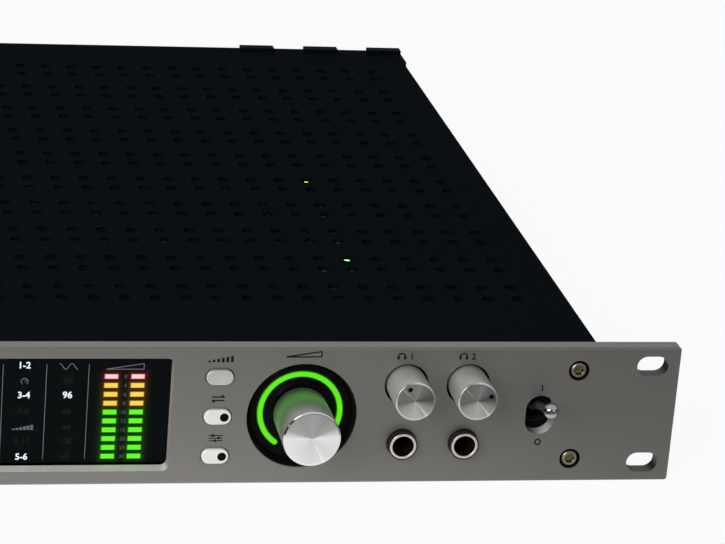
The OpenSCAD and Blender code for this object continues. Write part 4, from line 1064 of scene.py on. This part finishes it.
class InterfaceDials(bpy.types.Operator):
    """Turned knobs in black dial plates with green light rings."""

    bl_idname = "interface.dials"
    bl_label = "Dials"

    def execute(self, context):
        s = sizes()
        gloss = grained("dial_gloss", darker(shades().plastic, 0.35), 0.2, fine=0.6, spread=0.05,
                        depth=0.0006, specular=0.03)
        # Painted reflections: light and dark sectors by angle on the face, and on the rim with dark
        # notches.
        painted_face_fan = ((-180, 0.88), (-130, 0.96), (-88, 1.00), (-68, 0.48), (-30, 0.41), (0, 0.45),
                    (34, 0.39), (62, 0.47), (84, 1.02), (128, 0.90), (146, 0.94), (151, 1.12),
                    (157, 0.92), (180, 0.88))
        painted_rim_fan = ((-180, 0.72), (-100, 0.80), (-84, 1.0), (-78, 0.05), (-63, 0.05), (-59, 0.55),
                   (-55, 0.05), (-45, 0.08), (-39, 0.95), (38, 0.95), (55, 0.35), (76, 0.40),
                   (86, 1.0), (110, 0.80), (180, 0.72))
        for name, lit_to in (("monitor", 125.0), ("gain", -20.0)):
            knob = f"{name}_knob"
            centre = middle_of(knob)
            finishes = knob_finishes(knob, shades().knob, centre, (painted_face_fan, painted_rim_fan),
                                     s["groove"], (0.66, 0.80), 1.0)
            make_piece(f"{name}_turned_knob", knob_parts(*extent(knob), s["dial_taper"], s),
                       finishes, f"{name}_dial", (knob,))
            dress(gloss, f"{name}_dial_plate")
            dress(ring_light(name, centre, lit_to), f"{name}_light_ring")
            dress(plated_steel(), f"{name}_shaft", f"{name}_encoder")
            dress(grained("cream_plastic", (0.60, 0.57, 0.48), 0.45), f"{name}_plunger")
        return DONE


class InterfacePhones(bpy.types.Operator):
    """Phones knobs with a black pointer dot, and the controls behind them."""

    bl_idname = "interface.phones"
    bl_label = "Phones knobs"

    def execute(self, context):
        s = sizes()
        # Painted reflections: light and dark sectors by angle on the face and on the rim.
        painted_face_fan = ((-180, 1.04), (-150, 0.88), (-122, 0.66), (-98, 0.30), (-74, 0.31),
                    (-49, 0.30), (-45, 0.56), (-41, 0.29), (0, 0.33), (12, 0.38), (28, 0.28),
                    (56, 0.20), (80, 0.14), (96, 0.30), (114, 0.58), (132, 0.70), (140, 1.30),
                    (147, 0.76), (160, 0.97), (180, 1.04))
        painted_rim_fan = ((-180, 0.60), (-120, 0.55), (-96, 0.85), (-60, 0.60), (-30, 0.25), (0, 0.85),
                   (25, 1.0), (60, 0.75), (100, 0.30), (132, 0.60), (140, 1.0), (150, 0.65),
                   (180, 0.60))
        reach = s["pointer_reach"]
        dome = low_dome(s["pointer_dot"] / 2, 0.3, 0.06, 0.11, 0.2)
        for number, degrees in ((1, -26.0), (2, 68.0)):
            node = f"phones_knob_{number}"
            low, high = extent(node)
            centre, angle = (low + high) / 2, math.radians(degrees)
            depth = s["knob_dish"] * (1 - reach / ((high[0] - low[0]) / 2 - s["rim_cut"]))
            place = (centre[0] + reach * math.sin(angle), low[1] + depth,
                     centre[2] + reach * math.cos(angle))
            parts = knob_parts(low, high, s["phones_taper"], s)
            parts.append(turned(dome, place, FRONT, 40) + (3,))
            finishes = knob_finishes(node, shades().phones, centre, (painted_face_fan, painted_rim_fan),
                                     s["groove"], (0.61, 0.72), 0.55)
            make_piece(f"{node}_turned", parts, finishes + [dot_black()], f"phones_{number}",
                       (node,))
            dress(plated_steel(), f"phones_shaft_{number}")
        dress(plated_steel(), "phones_pots")
        return DONE


class InterfaceJacks(bpy.types.Operator):
    """Front jacks: black collars and rounded nickel rings."""

    bl_idname = "interface.jacks"
    bl_label = "Front jacks"

    def execute(self, context):
        dress(black_plastic(), "front_jacks")
        parts = []
        for low, high in solids("jack_rings", ((0, 3.0),)):
            outer, thick, width = (high[0] - low[0]) / 2, high[1] - low[1], 0.85
            inner = outer - width
            loop = soften([(inner, thick / 2), (inner, 0.0), (outer, 0.0), (outer, thick),
                           (inner, thick), (inner, thick / 2)], (0.0, 0.0, 0.28, 0.28))[:-1]
            parts.append(turned(loop, seated(low, high, 1, high[1]), closed=True))
        make_piece("jack_rings_turned", parts, [nickel()],
                   stands_for=("jack_rings",))
        return DONE


def button_cap(name, s):
    """Cap and lip as stacked ovals with a slightly crowned front, and a turned stem."""
    low, high = extent(name)
    width, height, curve = s["button_width"], s["button_height"], s["button_round"]
    lip, reach, tail = (high[0] - low[0] - width) / 2, -low[1], high[1]
    centre = seated(low, high, 1, 0.0)
    outline = soften([
        (-lip + 0.2, -1.0), (-lip, -1.0), (-lip, -0.02), (0.0, -0.02), (0.0, reach - 0.06),
        (curve, reach - 0.04), (height * 0.3, reach - 0.01), (height * 0.42, reach),
    ], (0.1, 0.1, 0.1, curve, 0.3, 0.3))
    oval = stacked(outline, width, height, height / 2, centre)
    stem_r = s["button_stem"] / 2
    stem = [(0.0, -tail), (stem_r - 0.3, -tail), (stem_r, 0.3 - tail), (stem_r, -0.9),
            (0.0, -0.9)]
    return [oval + (0,), turned(stem, centre, FRONT, 40) + (0,)]


def button_dot(name, s):
    """A low dome in the button's right half."""
    low, high = extent(name)
    place = seated(low, high, 1, low[1]) + (s["dot_shift"], 0.0, 0.0)
    return turned(low_dome(s["button_dot"] / 2, 0.4, 0.03, 0.10, 0.3), place, FRONT, 48) + (1,)


class InterfaceButtons(bpy.types.Operator):
    """Moulded buttons with rounded edges and a dark lamp dot."""

    bl_idname = "interface.buttons"
    bl_label = "Buttons"

    def execute(self, context):
        s = sizes()
        moulded = {"fine": 0.3, "blotch": 0.08, "blotch_size": 4.0}
        shade = shades().button
        white = grained("button_white", shade, 0.34, metallic=0.2, **moulded)
        grey = grained("button_grey", darker(shade, 0.66), 0.30, metallic=0.5, **moulded)
        for name in BUTTON_SIGNS:
            plain = name == "meter_button"
            parts = button_cap(name, s) + ([] if plain else [button_dot(name, s)])
            make_piece(f"{name}_moulded", parts, [grey if plain else white, dot_black()],
                       name, (name,))
        dress(black_plastic(), "button_switches")
        return DONE


class InterfacePower(bpy.types.Operator):
    """Chromed lever and its black switch."""

    bl_idname = "interface.power"
    bl_label = "Power lever"

    def execute(self, context):
        dress(grained("switch_black", shades().plastic, 0.5, specular=0.2), "power_switch")
        chrome = grained("lever_chrome", shades().chrome, 0.10, metallic=1.0, fine=0.6,
                         depth=0.0008)
        tree, shader, colour = opened(chrome)
        place = where(tree)
        _, y, z = axes(place)
        points = corners("power_lever")
        front = points[points[:, 1].argmin()]
        shank = ranged(y, (front[1] + 3.5) * MM, (front[1] + 6.0) * MM, 0.0, 1.0)
        # Painted reflection: a dark wavy band across the chrome end of the lever; the shank gets a
        # dark, less metallic colour.
        waver = (noise(place, 700.0, 1.0) - 0.5) * (3.0 * MM)
        band = abs(waver + z - (front[2] + 0.45) * MM)
        ball_with_painted_band = scaled(colour, ranged(band, 0.30 * MM, 0.7 * MM, 0.10, 1.0))
        fill(shader, {"Base Color": blend(shank, ball_with_painted_band, (0.115, 0.12, 0.13, 1.0)),
                      "Metallic": chosen(shank, 1.0, 0.35)})
        dress(chrome, "power_lever")
        return DONE


def status_lamps():
    """Domed lamps of different colours and strengths, each a lathe shape."""
    colours = (("blue", (0.04, 0.18, 1.0), 0.35), ("green", (0.14, 1.0, 0.24), 8.0),
               ("red", (1.0, 0.10, 0.05), 0.04), ("yellow", (0.50, 1.0, 0.04), 5.0),
               ("dim_green", (0.10, 1.0, 0.15), 0.1))
    order = (0, 4, 2, 0, 1, 3, 0, 0)
    finishes, parts = [], []
    for name, shade, strength in colours:
        finish = grained(f"{name}_lamp", darker(shade, 0.1), 0.3, depth=0.0005, specular=0.1)
        fill(opened(finish)[1], {"Emission Color": opaque(shade),
                                 "Emission Strength": strength})
        finishes.append(finish)
    for (low, high), colour in zip(solids("status_lamps", ((0, 2.0), (1, 2.0))), order):
        radius, tall = (high[0] - low[0]) / 2, high[2] - low[2]
        dome = soften([(0.0, 0.0), (radius, 0.0), (radius, tall), (0.0, tall)],
                      (0.0, radius * 0.9), 10)
        parts.append(turned(dome, seated(low, high, 2, low[2]), UP, 32) + (colour,))
    make_piece("status_lamps_domed", parts, finishes,
               stands_for=("status_lamps",))


class InterfaceInside(bpy.types.Operator):
    """Boards, parts and status lamps under the cover."""

    bl_idname = "interface.inside"
    bl_label = "Inside"

    def execute(self, context):
        board = grained("solder_mask", shades().board, 0.35, fine=0.6, tone=0.2, blotch=0.3,
                        blotch_size=9.0, depth=0.01)
        brass = grained("brass_plating", (0.55, 0.45, 0.22), 0.3, metallic=1.0)
        sink = grained("sink_bright", (0.80, 0.80, 0.78), 0.5, metallic=0.1)
        epoxy = grained("chip_epoxy", (0.018, 0.018, 0.019), 0.55, tone=0.2, depth=0.008)
        sleeve = grained("sleeve", (0.05, 0.05, 0.09), 0.35, blotch=0.2, blotch_size=7.0)
        relay = grained("relay_case", (0.78, 0.78, 0.74), 0.4)
        ribbon = grained("ribbon_grey", (0.22, 0.22, 0.23), 0.5, fine=1.2, tone=0.2, depth=0.05)
        dress(board, "front_board", "main_board", "connector_board")
        dress(brass, "board_standoffs", "front_board_pillars")
        dress(plated_steel(), "board_screws")
        dress(sink, "heat_sinks")
        dress(epoxy, "board_chips")
        dress(sleeve, "board_capacitors")
        dress(relay, "board_relays")
        dress(ribbon, "ribbon_cable")
        status_lamps()
        return DONE


class InterfaceSockets(bpy.types.Operator):
    """Sockets in the rear panel."""

    bl_idname = "interface.sockets"
    bl_label = "Rear sockets"

    def execute(self, context):
        dress(black_plastic(), "combo_sockets", "line_jacks", "optical_ports", "power_inlet")
        dress(nickel(), "clock_sockets")
        dress(plated_steel(), "computer_ports")
        return DONE


class InterfaceMarks(bpy.types.Operator):
    """Plain printed signs beside the controls."""

    bl_idname = "interface.marks"
    bl_label = "Panel marks"

    def execute(self, context):
        s = sizes()
        face, depth = extent("front_panel")[0][1], s["ink"]
        above_button, dial_z, phones_z, on_z, off_z = 5.65, 19.9, 19.2, 8.8, -8.9
        parts = []

        def draw(kind, x, z, scale=1.0):
            parts.extend(mark(kind, (x, z), face, s["stroke"], depth, scale))

        def write(number, height, x, z):
            parts.append(figure(str(number), height, (x, z), face, depth))

        for name, kind in BUTTON_SIGNS.items():
            x, _, z = middle_of(name)
            draw(kind, x, z + above_button)
        for name in ("monitor_knob", "gain_knob"):
            draw("wedge", middle_of(name)[0] - 0.7, dial_z, 0.95)
        for number in (1, 2):
            x = middle_of(f"phones_knob_{number}")[0] - 1.0
            draw("phones", x - 1.2, phones_z)
            write(number, 2.1, x + 1.9, phones_z)
        for number, (low, high) in enumerate(solids("jack_rings", ((0, 3.0),))[:2]):
            write(2 - number, 1.9, (low[0] + high[0]) / 2, 0.0)
        x = middle_of("power_lever")[0]
        draw("stroke", x, on_z)
        draw("ring", x + 0.2, off_z)
        make_piece("panel_marks", parts, [ink()])
        return DONE


OPERATORS = (InterfaceStage, InterfaceCase, InterfaceScrews, InterfaceDisplay, InterfaceDials,
             InterfacePhones, InterfaceJacks, InterfaceButtons, InterfacePower, InterfaceInside,
             InterfaceSockets, InterfaceMarks)


class InterfacePanel(bpy.types.Panel):
    """Lists the operators in the sidebar."""

    bl_idname = "VIEW3D_PT_interface"
    bl_label = "Rack audio interface"
    bl_space_type = "VIEW_3D"
    bl_region_type = "UI"
    bl_category = "Interface"

    def draw(self, context):
        for operator in OPERATORS:
            self.layout.operator(operator.bl_idname)


CLASSES = (InterfaceSizes, InterfaceColours) + OPERATORS + (InterfacePanel,)


def register():
    for item in CLASSES:
        bpy.utils.register_class(item)
    bpy.types.Scene.interface_sizes = PointerProperty(type=InterfaceSizes)
    bpy.types.Scene.interface_colours = PointerProperty(type=InterfaceColours)


def unregister():
    del bpy.types.Scene.interface_colours
    del bpy.types.Scene.interface_sizes
    for item in reversed(CLASSES):
        bpy.utils.unregister_class(item)


def main():
    register()
    for operator in OPERATORS:
        group, name = operator.bl_idname.split(".")
        getattr(getattr(bpy.ops, group), name)()


if __name__ == "__main__":
    main()
